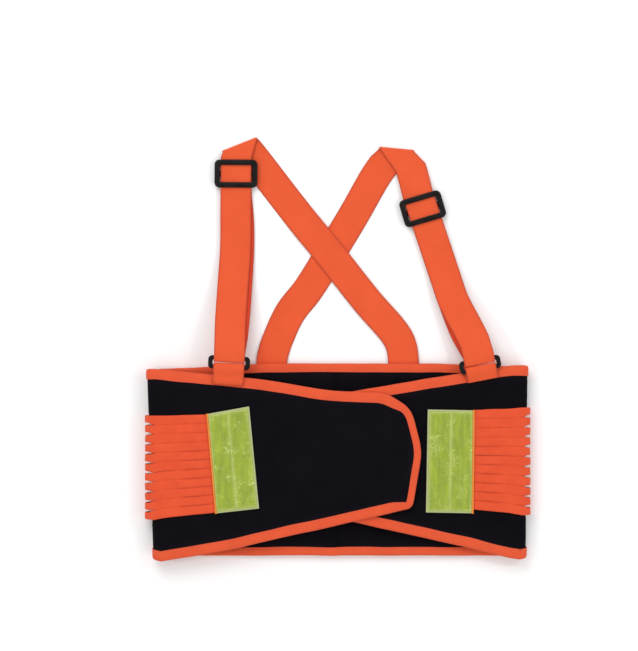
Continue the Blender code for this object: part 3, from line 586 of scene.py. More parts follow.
def fold_x(fold, y):
    (top_x, top_y), (bottom_x, bottom_y) = fold
    return top_x + (bottom_x - top_x) * (y - top_y) / (bottom_y - top_y)


def fold_point(centre_x, side, front_z, angle, y, rear_z=BACK_Z):
    """A point and its normal on a side fold: angle 0 is the front, pi is the back."""
    radius = (front_z - rear_z) / 2
    normal = Vector((side * math.sin(angle), 0, math.cos(angle)))
    return Vector((centre_x, y, (front_z + rear_z) / 2)) + normal * radius, normal


CLOSURE = rounded(((CLOSURE_X, -34.4, 0), (-5.0, -47.2, 200.0), (52.0, -48.5, 40.0), (80.0, -66.0, 30.0),
                   (91.8, -112.0, 60.0), (81.5, -173.8, 9.0), (CLOSURE_X, -211.0, 0)), 5)
UNDER = rounded(((UNDER_X, -34.2, 0), (-34.0, -56.0, 34.0), (-45.0, -118.0, 80.0), (-38.0, -177.0, 14.0),
                 (UNDER_X, -206.5, 0)), 5)
HALVES = {
    "left": {
        "side": -1, "flap": CLOSURE, "hinge": CLOSURE_X, "fold": LEFT_FOLD, "z": LEFT_Z, "turns": "closure",
        "band": (-130.1, 56.9),
        "top": ((-200.5, -22.9), (-160.0, -26.6), (-120.0, -30.5), (CLOSURE_X, -34.4)),
        "bottom": ((-193.5, -232.6), (-175.7, -229.4), (-122.9, -220.0), (CLOSURE_X, -211.0)),
    },
    "right": {
        "side": 1, "flap": UNDER, "hinge": UNDER_X, "fold": RIGHT_FOLD, "z": RIGHT_Z,
        "turns": "under_closure",
        "band": (-123.5, 59.1),
        "top": ((202.5, -18.8), (185.0, -19.6), (123.5, -29.4), (UNDER_X, -34.2)),
        "bottom": ((200.4, -230.3), (185.0, -228.0), (141.0, -217.0), (UNDER_X, -206.5)),
    },
}


def back_top(x):
    """The back's top edge, which drops towards the side folds."""
    return BACK_TOP - 6.0 * smoothstep((-x - 62.0) / 145.0) - 3.0 * smoothstep((x - 95.0) / 105.0)


def half_stations(half):
    """Stations from a flap's tip round the side fold to the middle of the back, each
    (top edge, bottom edge, normal)."""
    side, hinge, z = half["side"], half["hinge"], half["z"]
    tip = max((p.x for p in half["flap"]), key=lambda x: abs(x - hinge))
    stations = []

    def add(top, bottom, normal):
        for edge, seed in ((top, 5 + side), (bottom, 3 + side)):  # sewn edges are never straight
            edge.y += 0.45 * ripple(edge.x + edge.z, 0, seed, 26.0)
        stations.append((top, bottom, normal))

    for k in range(FLAP_STEPS):
        x = hinge + (tip - hinge) * math.cos(math.pi / 2 * max(k, 0.35) / FLAP_STEPS)
        low, high = crossings(half["flap"], x)
        add(Vector((x, high, z)), Vector((x, low, z)), UP)
    top, bottom = (smooth(half[key], 4.0) for key in ("top", "bottom"))
    for k in range(FRONT_STEPS):
        t = k / FRONT_STEPS
        x0, x1 = (hinge + (corner[0] - hinge) * t for corner in half["fold"])
        add(Vector((x0, height_at(top, x0), z)), Vector((x1, height_at(bottom, x1), z)), UP)
    (_, front_top), (_, front_bottom) = half["fold"]
    for k in range(ARC_STEPS + 1):
        angle = math.pi * k / ARC_STEPS
        y0 = front_top + (back_top(side * 200.0) - front_top) * angle / math.pi
        y1 = front_bottom + (BACK_BOTTOM - front_bottom) * angle / math.pi
        upper, normal = fold_point(fold_x(half["fold"], y0) + side * GAP / 2, side, z, angle, y0)
        lower, _ = fold_point(fold_x(half["fold"], y1) + side * GAP / 2, side, z, angle, y1)
        add(upper, lower, normal)
    for k in range(1, BACK_STEPS + 1):
        t = 1 - k / BACK_STEPS
        x0, x1 = fold_x(half["fold"], BACK_TOP) * t, fold_x(half["fold"], BACK_BOTTOM) * t
        past = side * HALF_OVERLAP
        add(Vector((x0 + past, back_top(x0), BACK_Z)), Vector((x1 + past, BACK_BOTTOM, BACK_Z)), -UP)
    return stations


def relaxed(points, columns, rows, pinned):
    """The sheet's points after a short cloth simulation that fills it slightly between its
    sewn edges. points are metres in column order."""
    data = bpy.data.meshes.new("relaxing")
    faces = [
        (i * rows + j, (i + 1) * rows + j, (i + 1) * rows + j + 1, i * rows + j + 1)
        for i in range(columns - 1)
        for j in range(rows - 1)
    ]
    data.from_pydata(points, [], faces)
    made = shown("relaxing", data)
    made.vertex_groups.new(name="sewn").add(pinned, 1.0, "REPLACE")
    solver = made.modifiers.new("cloth", "CLOTH")
    for key, value in PADDED_CLOTH.items():
        setattr(solver.settings, key, value)
    solver.settings.effector_weights.gravity = 0.0
    solver.collision_settings.use_collision = False
    scene = bpy.context.scene
    for number in range(1, SETTLING_FRAMES + 1):
        scene.frame_set(number)
    bpy.context.view_layer.objects.active = made
    bpy.ops.object.modifier_apply(modifier=solver.name)
    settled = [v.co.copy() for v in made.data.vertices]
    bpy.data.objects.remove(made, do_unlink=True)
    scene.frame_set(1)
    return settled


def swelling(grid, inside, side):
    """How far the padding swells out of its plane at each point of a half."""
    columns, rows = len(grid), len(grid[0])
    cells = [cell for column in grid for cell in column]
    start = [(p + q * 0.15 * ripple(p.x + p.z, p.y, side, 22.0)) * MM for p, q in cells]
    pinned = [
        i * rows + j
        for i in range(columns)
        for j in range(rows)
        if inside[i][j] < TAPE_WIDTH - 2.0 or i == columns - 1
    ]
    out = [(there / MM - p).dot(q) for there, (p, q) in zip(relaxed(start, columns, rows, pinned), cells)]
    return [out[i * rows:(i + 1) * rows] for i in range(columns)]


def body_half(name, half):
    """One half of the padded belt, from the flap's tip to the middle of the back, as two
    pieces that meet under the side fold: the one that runs over the flap's hinge, and the back."""
    side, stations = half["side"], half_stations(half)
    shares = [k / PANEL_ROWS for k in range(PANEL_ROWS + 1)]
    grid, uv, length, last = [], [], 0.0, None
    for top, bottom, normal in stations:
        middle = top.lerp(bottom, 0.5)
        length += (middle - last).length if last else 0.0
        last = middle
        column = [top.lerp(bottom, f) for f in shares]
        for p in column:  # the elastic draws the side fold in
            band_middle, band_half = half["band"]
            held = smoothstep((band_half - abs(p.y - band_middle)) / 5.0)
            p.x -= side * SQUEEZE * abs(normal.x) * held
        grid.append([(p, normal) for p in column])
        uv.append([(length, top.y + (bottom.y - top.y) * f) for f in shares])
    inside = []
    for i, (top, bottom, _) in enumerate(stations):
        span = (top - bottom).length
        tip = abs(stations[0][0].x - top.x) if i < FLAP_STEPS else 1e3
        inside.append([min(f * span, (1 - f) * span, tip) for f in shares])
    swell = swelling(grid, inside, side)
    sheet = []
    under_band = FLAP_STEPS + FRONT_STEPS
    turn_over = under_band + ARC_STEPS
    for i, column in enumerate(grid):
        rise, drop, worn_and_shaded = [], [], []
        for j, (p, q) in enumerate(column):
            d = inside[i][j]
            free = smoothstep((d - TAPE_WIDTH + 1.0) / SOFT_REACH)
            crease = 0.30 * ripple(p.x, p.y, 11 + side, 17.0) + 0.22 * ripple(p.x, p.y, 13, 6.5)
            room = 1.0
            if i >= FLAP_STEPS - 2:
                room = smoothstep((abs(p.y - FLAT_MIDDLE) - FLAT_HALF) / 12.0)
            if i >= under_band:
                room = min(room, UNDER_BAND_ROOM)
            if half is HALVES["right"] and i < FLAP_STEPS:
                room = UNDER_FLAP_ROOM
            puffed = SWELL_MOST * math.tanh(max(swell[i][j], 0.0) / SWELL_EASE) + crease
            outer, inner = free * room * max(puffed, -HOLLOW_MOST), free * INNER_FACE_ROOM * puffed
            if i > turn_over:
                outer, inner = -0.05, free * (0.25 + 0.55 * max(puffed, -0.3))
            rise.append(PANEL / 2 + outer)
            drop.append(PANEL / 2 + inner)
            worn_and_shaded.append(max(0.0, 1.0 - abs(d - TAPE_WIDTH) / 5.0) * 0.6 + 0.15 * max(0.0, puffed))
        sheet.append((column, rise, drop, uv[i], worn_and_shaded))
    made = []
    for part, first, last in (("_padded_half", 0, turn_over + 1), ("_padded_back", turn_over, len(sheet))):
        made.append(piece(name + part, "panel", *two_skins(sheet[first:last]), slot="panel"))
        thicker = made[-1].modifiers.new("smoother", "SUBSURF")
        thicker.levels = thicker.render_levels = 1
    return made, stations


def tape(name, path, seed, stands_for, blend=None, width=TAPE_WIDTH, narrows=False):
    """Binding tape folded over an edge path of (point, normal) with its fabric on the left, and
    its two rows of stitches, as two objects. Where it narrows, it does so towards the tip of
    the closure flap."""
    rings, lengths, rows = [], [0.0], ([], [])
    for i, (point, normal) in enumerate(path):
        ahead = path[min(i + 1, len(path) - 1)][0] - path[max(i - 1, 0)][0]
        inward = ahead.normalized().cross(normal).normalized()
        if i:
            lengths.append(lengths[-1] + (point - path[i - 1][0]).length)
        s, tight = lengths[-1], 0.0
        if narrows and normal.z > 0.9:
            tight = smoothstep((point.x - TIP_NARROWS_FROM) / TIP_NARROWS_OVER)
        reach = width * (1.0 - TIP_NARROWING * tight) + 0.45 * ripple(s, 0, seed, 30.0)
        puff = 0.10 + 0.10 * ripple(s, 4, seed, 9.0) + 0.05 * ripple(s, 9, seed, 3.1)
        out = TAPE_OUT + puff
        outer = ((reach, TAPE_IN + 0.05), (reach - 0.05, TAPE_OUT - 0.12), (reach - 0.5, TAPE_OUT),
                 (reach - 1.2, TAPE_OUT - 0.16), (reach - 1.9, TAPE_OUT - 0.16),
                 (reach - 2.8, TAPE_OUT + 0.03), (reach * 0.55, out), (2.6, out), (1.0, out - 0.12),
                 (0.0, out - 0.55), (-0.6, out - 1.3), (-0.88, out - 2.1))
        inner = ((-0.3, 0.0), (-0.25, TAPE_IN - 0.5), (0.3, TAPE_IN), (reach - 0.2, TAPE_IN))
        profile = [*outer, (-0.92, 0.0), *((x, -y) for x, y in outer[::-1])]
        profile += [*((x, -y) for x, y in inner[::-1]), *inner[1:]]
        rings.append([point + inward * x + normal * y for x, y in profile])
        for row, sign in zip(rows, (1, -1)):
            spot = point + inward * (reach - 1.55) + normal * sign * (TAPE_OUT - 0.12)
            row.append((spot, normal * sign))
    # painted shade: the tape darkens where its cut edge meets the panel and round its folded edge
    wear_and_shade = [1.0, 0.9, 0.5, 0.25, 0.15, 0.1, 0.0, 0.0, 0.05, 0.2, 0.35, 0.4]
    wear_and_shade = wear_and_shade + [0.4] + wear_and_shade[::-1] + [0.3] * 7
    made = piece(name, "binding", *loft(rings, lengths, wear_and_shade), stands_for=stands_for, slot="binding")
    sewn = piece(name + "_stitching", "orange_thread", *merged([stitches(row) for row in rows]))
    for obj in (made, sewn):
        bend_or_ride(obj, blend)


def bend_or_ride(obj, blend):
    """Rides on the belt when there is no blend; otherwise has its transform baked into its mesh."""
    if not blend:
        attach(obj, "belt")
        return
    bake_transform(obj)


def edge_path(stations, upper):
    index = 0 if upper else 1
    return [(s[index], s[2]) for s in stations]


def fabric_body():
    """Both padded halves, the tape round them and the tape along the back's edges."""
    backs = {}
    for key, replaced, taped in (
        ("left", ("left_front_panel", "closure_flap", "left_side_panel"),
         ("left_binding_top", "left_binding_bottom", "closure_flap_binding")),
        ("right", ("right_front_panel", "under_flap", "right_side_panel"),
         ("right_binding_top", "right_binding_bottom", "under_flap_binding")),
    ):
        half = HALVES[key]
        (made, back), stations = body_half(key, half)
        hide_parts(*replaced)
        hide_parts("back_panel")
        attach(back, "belt")
        reach = -half["side"] * HINGE_REACH
        blend = (half["turns"], *((half["hinge"] + by, -120, half["z"]) for by in (-reach, reach)))
        bend_or_ride(made, blend)
        ends = FLAP_STEPS + FRONT_STEPS + ARC_STEPS + 1
        whole = edge_path(stations[:ends], True)[::-1] + edge_path(stations[:ends], False)
        whole = whole if key == "left" else whole[::-1]
        tape(key + "_tape", whole, 21 + half["side"], taped, blend, narrows=key == "left")
        backs[key] = stations[ends - 1:]
    for level, upper, seed in (("top", True, 31), ("bottom", False, 37)):
        left, right = ([(p, UP) for p, _ in edge_path(backs[key], upper)[1:-1]] for key in ("left", "right"))
        path = left + right[::-1]
        tape("back_tape_" + level, path if upper else path[::-1], seed, ("back_binding_" + level,),
             width=BACK_TAPE_WIDTH)
    seam = rounded(((-6, -19, 1), (6, -19, 1), (6, -225, 1), (-6, -225, 1)), 30)
    made = outline_pad("back_seam_tape", "panel", seam, BACK_Z + PANEL / 2 + 0.15, 0.28, edge=0.3)
    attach(made, "belt")


# ---------------------------------------------------------------- flat sewn pieces


def pad(name, surface, at, us, vs, outline, z, thick, edge, stands_for=(), slot=None, crown=0.0,
        bumps=0.0, size=9.0, seed=1):
    """A flat sewn piece whose points are at(u, v), with soft edges and an uneven top."""
    columns = []
    for u in us:
        cells, rise, drop, spots, worn_and_shaded = column = ([], [], [], [], [])
        for v in vs:
            x, y = at(u, v)
            d = edge_distance(outline, Vector((x, y)))
            share = min(d / edge, 1.0)
            shape = math.sqrt(max(1 - (1 - share) ** 2, 0.0))
            lumps = bumps * ripple(x, y, seed, size) * smoothstep(d / (2.5 * edge))
            half = thick / 2 * (0.15 + 0.85 * shape)
            cells.append((Vector((x, y, z)), UP))
            rise.append(half + crown * smoothstep(d / (6 * edge)) + lumps)
            drop.append(half)
            spots.append((x, y))
            worn_and_shaded.append(math.exp(-d / (1.2 * edge)))
        columns.append(column)
    return piece(name, surface, *two_skins(columns), stands_for=stands_for, slot=slot)


def sliced(outline):
    """at(x, share) across an outline between its lower and upper edges."""
    def at(x, share):
        low, high = crossings(outline, x)
        return x, low + (high - low) * share
    return at


def outline_pad(name, surface, outline, z, thick, edge=0.8, **more):
    low, high = min(p.x for p in outline), max(p.x for p in outline)
    inset, step = 0.02, 3.0
    us = spaced(low + inset, high - inset, step, 2.2 * edge)
    longest = max(p.y for p in outline) - min(p.y for p in outline)
    vs = [v / longest for v in spaced(0.0, longest, step, 2.2 * edge)]
    return pad(name, surface, sliced(outline), us, vs, outline, z, thick, edge, **more)


def hem(name, outline, z, inset, facing, body):
    """A row of black stitches just inside an outline, on its upper (1) or lower (-1) face."""
    centre = sum(outline, Vector((0, 0))) / len(outline)
    loop = [p + (centre - p).normalized() * inset for p in outline]
    loop.append(loop[0])
    path = []
    for a, b in zip(loop, loop[1:]):
        cuts = max(1, round((b - a).length / PATH_STEP))
        path += [(Vector((*a.lerp(b, k / cuts), z)), UP * facing) for k in range(cuts)]
    path.append((Vector((*loop[-1], z)), UP * facing))
    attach(piece(name + "_stitching", "black_thread", *stitches(path)), body)


def fasteners():
    """Hook patch inside the closure flap and the loop patch that it grips."""
    for name, surface, corners, panel_z, facing, body, bumps, size in (
        ("closure_hook", "hook", ((12, -66), (62, -70), (68, -118), (64, -158), (12, -168)),
         LEFT_Z, -1, "closure", 0.05, 3.0),
        ("under_loop", "loop", ((-22, -72), (76, -68), (76, -168), (-22, -164)),
         RIGHT_Z, 1, "under_closure", 0.12, 5.0),
    ):
        outline = rounded([(x, y, 8) for x, y in corners], 20)
        near = panel_z + facing * (PANEL / 2 + GAP)
        made = outline_pad(name, surface, outline, near + facing * HOOK / 2, HOOK, slot=surface,
                           stands_for=(name + "_patch",), bumps=bumps, size=size)
        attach(made, body)
        hem(name, outline, near + facing * HOOK, 1.8, facing, body)


def across_quad(quad, u, v):
    """A point in a four-cornered outline: u from its first side, v from its top."""
    top = Vector(quad[0]).lerp(Vector(quad[1]), u)
    bottom = Vector(quad[3]).lerp(Vector(quad[2]), u)
    return top.lerp(bottom, v)


def part_of(quad, u0, u1, v0, v1):
    """at(u, v) and the outline of a patch of a four-cornered outline."""
    def at(u, v):
        return across_quad(quad, u0 + (u1 - u0) * u, v0 + (v1 - v0) * v)
    return at, [at(*corner) for corner in ((0, 0), (1, 0), (1, 1), (0, 1))]


def grip_tab(side, quad, hinge_u, panel_z):
    """A grip tab: hook, fabric backing with its seam strip, two shiny strips, and stitches."""
    hinge, inner = (across_quad(quad, u, 0.5) for u in (hinge_u, 1 - hinge_u))
    ahead = (inner - hinge).normalized()
    top = panel_z + PANEL / 2 + 3 * GAP + HOOK + TAB + REFLECTOR
    blend = (side + "_tab", (*(hinge - ahead * 0.5), top), (*(hinge + ahead * HINGE_REACH), top))
    base = panel_z + PANEL / 2 + GAP
    us = [u / TAB_ACROSS for u in spaced(0, TAB_ACROSS, 2.4, 2.0)]
    vs = [v / TAB_TALL for v in spaced(0, TAB_TALL, 2.6, 2.0)]
    at, outline = part_of(quad, 0.10, 0.90, 0.05, 0.95)
    made = [pad(side + "_tab_hook", "hook", at, us, vs, outline, base + HOOK / 2, HOOK, 0.6,
                stands_for=(side + "_tab_hook_patch",), slot="hook")]
    low = base + HOOK + GAP
    at, outline = part_of(quad, 0.0, 1.0, 0.0, 1.0)
    made.append(pad(side + "_tab_fabric", "tab_backing", at, us, vs, outline, low + TAB / 2, TAB, 0.9,
                    stands_for=(side + "_grip_tab",), slot="tab_backing", bumps=0.22, size=14.0, seed=5))
    edge_u = (0.0, 0.045) if hinge_u == 0 else (0.955, 1.0)
    at, outline = part_of(quad, *edge_u, -0.004, 1.004)
    made.append(pad(side + "_tab_seam_strip", "seam_strip", at, spaced(0, 1, 0.25, 0.2), vs, outline,
                    low + TAB + 0.16, 0.5, 0.4, bumps=0.05, size=4.0))
    wide = [u / 21.0 for u in spaced(0, 21.0, 1.3, 0.9)]
    tall_v = [v / TAB_TALL for v in spaced(0, TAB_TALL, 1.5, 0.9)]
    for number, (start, end) in enumerate(((0.05, 0.501), (0.499, 0.95)), 1):
        at, outline = part_of(quad, start, end, 0.022, 0.978)
        made.append(pad(f"{side}_film_{number}", "reflector", at, wide, tall_v, outline,
                        low + TAB + GAP + 0.1, 0.7, 0.8, stands_for=(f"{side}_tab_reflector_{number}",),
                        slot="reflector", crown=0.1, bumps=0.34, size=6.5, seed=17 + number))
    spots = [[(u, 0.035 + 0.93 * k / 40) for k in range(41)] for u in (0.068, 0.483, 0.517, 0.932)]
    spots += [[(0.06 + 0.88 * k / 20, v) for k in range(21)] for v in (0.034, 0.966)]
    rows = [[(Vector((*across_quad(quad, u, v), top + 0.08)), UP) for u, v in line] for line in spots]
    made.append(piece(side + "_tab_stitching", "olive_thread",
                      *merged([stitches(row, 3.6, 2.5, 0.4, 0.26) for row in rows])))
    for obj in made:
        bend_or_ride(obj, blend)


# ---------------------------------------------------------------- ribbed elastic


def tension_band(side_name, side, centre_x, front_z, seam, at_tab, at_fold, stops):
    """The ribbed elastic from the grip tab, over the front and round the fold to the back."""
    (column_end, bridge_end), per = stops, len(RIB_ROWS)
    (top_x, top_y), (bottom_x, bottom_y) = seam
    slope = (bottom_x - top_x) / (bottom_y - top_y)
    columns, openings = [], []

    def rows(share, slit, wander):
        top, bottom = (near + (far - near) * share for near, far in zip(at_tab, at_fold))
        rib = (top - bottom - slit * (BAND_RIBS - 1)) / BAND_RIBS
        found = []
        for k in range(BAND_RIBS):
            start = top - k * (rib + slit) + 0.5 * ripple(wander, k * 9.0, side, 20.0)
            found += [start - rib * f for f in RIB_ROWS]
        return found

    def column(place, share, slit, length, is_open, groove=0.25):
        ys = rows(share, slit, length)
        cells = [place(y) for y in ys]
        lift, drop, worn_and_shaded = [], [], []
        fullness = min(1.0, length / 6.0)
        for j in range(len(cells)):
            k, row = divmod(j, per)
            crown = RIB_CROWN[row]
            shape = BAND / 2 * (0.35 + 0.65 * crown)
            full = shape + (0.34 * crown + 0.16 * ripple(length, k * 5.0, side, 8.0)) * fullness
            drop.append(shape * 0.9)
            outer = j in (0, len(cells) - 1)
            # the grooves between ribs dip, and the colour darkens in them as painted shade
            deep = 0.0 if outer else groove * (0.45 if k + (row > 3) < 4 else 1.0)
            lift.append(full - 0.30 * RIB_SHADE[row] * deep)
            worn_and_shaded.append(RIB_SHADE[row] * deep)
        if cells[0][1].z < 0:  # the rear half lies on the table
            lift = [min(h, BAND / 2) for h in lift]
        columns.append((cells, lift, drop, [(length, y) for y in ys], worn_and_shaded))
        openings.append(is_open)

    def on_front(x_of):
        return lambda y: (Vector((x_of(y), y, front_z)), UP)

    def seam_x(inset):
        return lambda y: top_x + slope * (y - top_y) + side * inset

    sewn = SEWN_OUT - SEWN_IN
    column(on_front(seam_x(SEWN_IN)), 0.0, SHUT, 0.0, False, 0.5)
    column(on_front(seam_x(SEWN_OUT)), 0.02, SHUT, sewn, False, 0.6)
    start = abs(column_end - (top_x + bottom_x) / 2)
    for k in range(1, FRONT_CUTS):
        t = k / FRONT_CUTS

        def between(y, t=t):
            first = seam_x(SEWN_OUT)(y)
            return first + (column_end - first) * t

        groove = math.sin(math.pi * min(t + 0.12, 1.0)) ** 0.5
        column(on_front(between), 0.02 + 0.58 * t, SHUT, sewn + start * t, False, groove)
    column(on_front(lambda y: column_end), 0.6, SHUT, start + sewn, False)
    reach = abs(bridge_end - column_end)
    column(on_front(lambda y: (column_end + bridge_end) / 2), 0.75, SHUT, start + reach / 2, False)
    column(on_front(lambda y: bridge_end), 0.92, SHUT, start + reach, False, 0.15)
    radius = (front_z - REAR_BAND_Z) / 2
    base = start + reach + 2.0
    for k in range(FOLD_CUTS + 1):
        angle = math.pi * k / FOLD_CUTS
        slit = SHUT + 2.9 * smoothstep((angle - 0.12) / 0.75)
        slit *= 1.0 - 0.3 * smoothstep((angle - 2.4) / 0.7)

        def around(y, angle=angle):
            bulge = 0.5 * math.sin(angle) * ripple(y, 0, side + 3, 9.0)
            point, normal = fold_point(centre_x, side, front_z, angle, y, REAR_BAND_Z)
            return point + normal * bulge, normal

        column(around, 1.0, slit, base + radius * angle, k > 0, 0.4)
    base += radius * math.pi
    for inset, slit, is_open in ((3.0, 1.6, True), (6.0, 0.12, False), (REAR_JOIN, SHUT, False)):
        x = centre_x - side * inset
        column(lambda y, x=x: (Vector((x, y, REAR_BAND_Z)), -UP), 1.0, slit, base + inset, is_open)
    slits = range(per - 1, BAND_RIBS * per - 1, per)
    missing = [(i, j) for i, is_open in enumerate(openings) if is_open for j in slits]
    made = piece(side_name + "_elastic", "elastic", *two_skins(columns, missing),
                 stands_for=(side_name + "_tension_band",), slot="elastic")
    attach(made, "belt")


def elastic():
    """Both ribbed bands, their plain rear lengths and the patch that joins them."""
    front = PANEL / 2 + GAP + BAND / 2
    tension_band("left", -1, LEFT_BAND_FOLD, LEFT_Z + front, (LEFT_TAB[0], LEFT_TAB[3]),
                 (-72.0, -179.2), LEFT_BAND_ENDS, (-181.0, -198.5))
    tension_band("right", 1, RIGHT_BAND_FOLD, RIGHT_Z + front, (RIGHT_TAB[1], RIGHT_TAB[2]),
                 (-66.8, -176.2), RIGHT_BAND_ENDS, (188.0, 200.0))
    for name, side, x, (top, bottom) in (
        ("left", -1, LEFT_BAND_FOLD, LEFT_BAND_ENDS),
        ("right", 1, RIGHT_BAND_FOLD, RIGHT_BAND_ENDS),
    ):
        outer_x, inner_x = x - side * (REAR_JOIN + GAP), side * (PATCH_HALF + GAP)
        quad = ((outer_x, top), (inner_x, -72.0), (inner_x, -184.0), (outer_x, bottom))
        at, outline = part_of(quad, 0, 1, 0, 1)
        wide, tall = abs(inner_x - outer_x), REAR_BAND_TALL
        made = pad(name + "_rear_elastic", "elastic", at, [u / wide for u in spaced(0, wide, 4, 2)],
                   [v / tall for v in spaced(0, tall, 2.2, 1.5)], outline, BAND / 2 + 0.05, BAND - 0.1, 0.6,
                   stands_for=(name + "_rear_band",), slot="elastic", bumps=0.1)
        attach(made, "belt")
    patch = rounded([(x * PATCH_HALF, y, 6) for x, y in ((-1, -62), (1, -62), (1, -194), (-1, -194))], 20)
    made = outline_pad("back_patch", "casing", patch, BAND / 2 + 0.05, BAND - 0.1,
                       stands_for=("centre_back_patch",), slot="casing", bumps=0.1)
    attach(made, "belt")
    hem("back_patch", patch, 0.12, 2.0, -1, "belt")


def stays():
    """Soft casings round the stays, and the stays' own plastic."""
    middle = (BACK_TOP + BACK_BOTTOM) / 2
    length, cuts, m = CASING_LENGTH, 41, 10
    for number, x in enumerate(STAY_X, 1):
        points, uv = [], []
        for k in range(cuts):
            y = middle - length / 2 + length * k / (cuts - 1)
            soft = 0.12 * ripple(y, x, 5, 12.0)
            outer = ((-7.0, 0.2), (-6.2, 0.0), (0.0, -0.1 - soft), (6.2, 0.0), (7.0, 0.2), (6.9, 2.5),
                     (6.2, 2.95), (0.0, 3.0), (-6.2, 2.95), (-6.9, 2.5))
            inner = [(px * 0.88, min(max(pz, 0.5), 2.5)) for px, pz in outer]
            points += [Vector((x + px, y, CASING_Z + pz)) for px, pz in (*outer, *inner)]
            uv += [(2.0 * j, y) for j in range(m)] * 2
        wear_and_shade = [0.6, 0.8, 0, 0.8, 0.6, 0.3, 0.2, 0, 0.2, 0.3] * (2 * cuts)
        faces = tube(cuts, m, 0, 2 * m) + tube(cuts, m, m, 2 * m)
        for start in (0, 2 * m * (cuts - 1)):
            for j in range(m):
                k = (j + 1) % m
                faces.append((start + j, start + k, start + m + k, start + m + j))
        made = piece(f"casing_{number}", "casing", points, faces, uv, wear_and_shade,
                     stands_for=(f"stay_casing_{number}",), slot="casing")
        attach(made, "belt")
        rows = [
            [(Vector((x + side * 5.9, middle - length / 2 + 2 + k * 4.6, CASING_Z)), Vector((0, 0, -1)))
             for k in range(41)]
            for side in (-1, 1)
        ]
        sewn = piece(f"casing_{number}_stitching", "black_thread", *merged([stitches(r) for r in rows]))
        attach(sewn, "belt")
        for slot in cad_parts[f"stay_{number}"].material_slots:
            slot.material = PALE_PLASTIC


# ---------------------------------------------------------------- webbing


def strip_sections(centre, flip=1):
    """Sections of a strip along points that rise and fall but don't roll."""
    found = []
    for i, point in enumerate(centre):
        along = (centre[min(i + 1, len(centre) - 1)] - centre[max(i - 1, 0)]).normalized()
        side = along.cross(UP).normalized() * flip
        reach = side * STRAP_WIDTH / 2
        found.append((point - reach, point + reach, side.cross(along) * flip))
    return found


def crease_sections(arriving, leaving, ends, z_top, z_bottom):
    """Webbing folded flat over a crease between two points, from one run to the next."""
    count = 10
    out = (arriving - leaving).normalized()
    ends = [Vector((*point, 0)) for point in ends]
    if (ends[1] - ends[0]).cross(Vector((*arriving, 0))).z < 0:
        ends.reverse()
    middle, radius = (z_top + z_bottom) / 2, (z_top - z_bottom) / 2
    sections = []
    for k in range(count + 1):
        angle = math.pi * k / count
        normal = Vector((*(out * math.sin(angle)), math.cos(angle)))
        lift = normal * radius + Vector((0, 0, middle))
        sections.append((ends[0] + lift, ends[1] + lift, normal))
    return sections


def hairpin(bar_edge, direction, z, half_gap):
    """Sections of a strip turning under a bar's edge, from below to above it."""
    across = Vector((-direction.y, direction.x, 0)) * (STRAP_WIDTH / 2)
    sections, count = [], 12
    for k in range(count + 1):
        angle = math.pi * k / count
        normal = Vector((*direction, 0)) * math.sin(angle) + Vector((0, 0, -math.cos(angle)))
        point = Vector((*bar_edge, z)) + normal * half_gap
        sections.append((point - across, point + across, normal))
    return sections


def shifted(section, move):
    """A section moved level by this 2-D vector."""
    left, right, normal = section
    move = Vector((*move, 0))
    return left + move, right + move, normal


def divided(sections):
    """More sections between those far apart."""
    found, step = [sections[0]], 4.0
    for (a0, b0, n0), (a1, b1, n1) in zip(sections, sections[1:]):
        cuts = max(1, round(((a1 + b1) - (a0 + b0)).length / 2 / step))
        for k in range(1, cuts + 1):
            t = k / cuts
            found.append((a0.lerp(a1, t), b0.lerp(b1, t), n0.lerp(n1, t).normalized()))
    return found


ACROSS = (0.0, 0.012, 0.04, 0.075, 0.11, 0.2, 0.35, 0.5, 0.65, 0.8, 0.89, 0.925, 0.96, 0.988, 1.0)
THICK = (0.25, 0.75, 1.0, 0.98, 0.86, 0.88, 0.9, 0.9, 0.9, 0.88, 0.86, 0.98, 1.0, 0.75, 0.25)
# SELVAGE_SHADE: painted shade that darkens the strap towards its selvages
SELVAGE_SHADE = (1.0, 0.85, 0.25, 0.1, 0.0, 0.0, 0.0, 0.0, 0.0, 0.0, 0.0, 0.1, 0.25, 0.85, 1.0)


def webbing(name, sections, thick, seed, stands_for, surface="webbing", lie=0.12):
    """A woven strap through sections, thicker at its selvages, which are painted darker as shade, lying
    slightly unevenly.
    """
    sections = divided(sections)
    columns, length = [], 0.0
    for i, (left, right, normal) in enumerate(sections):
        if i:
            before = sections[i - 1]
            length += ((left + right) - (before[0] + before[1])).length / 2
        width = (right - left).length
        rise = [lie * ripple(length, f * 30.0, seed, 14.0) for f in ACROSS]
        columns.append((
            [(left.lerp(right, f), normal) for f in ACROSS],
            [thick / 2 * t + r for t, r in zip(THICK, rise)],
            [thick / 2 * t - r for t, r in zip(THICK, rise)],
            [(f * width, length) for f in ACROSS],
            SELVAGE_SHADE,
        ))
    return piece(name, surface, *two_skins(columns), stands_for=stands_for, slot="webbing")


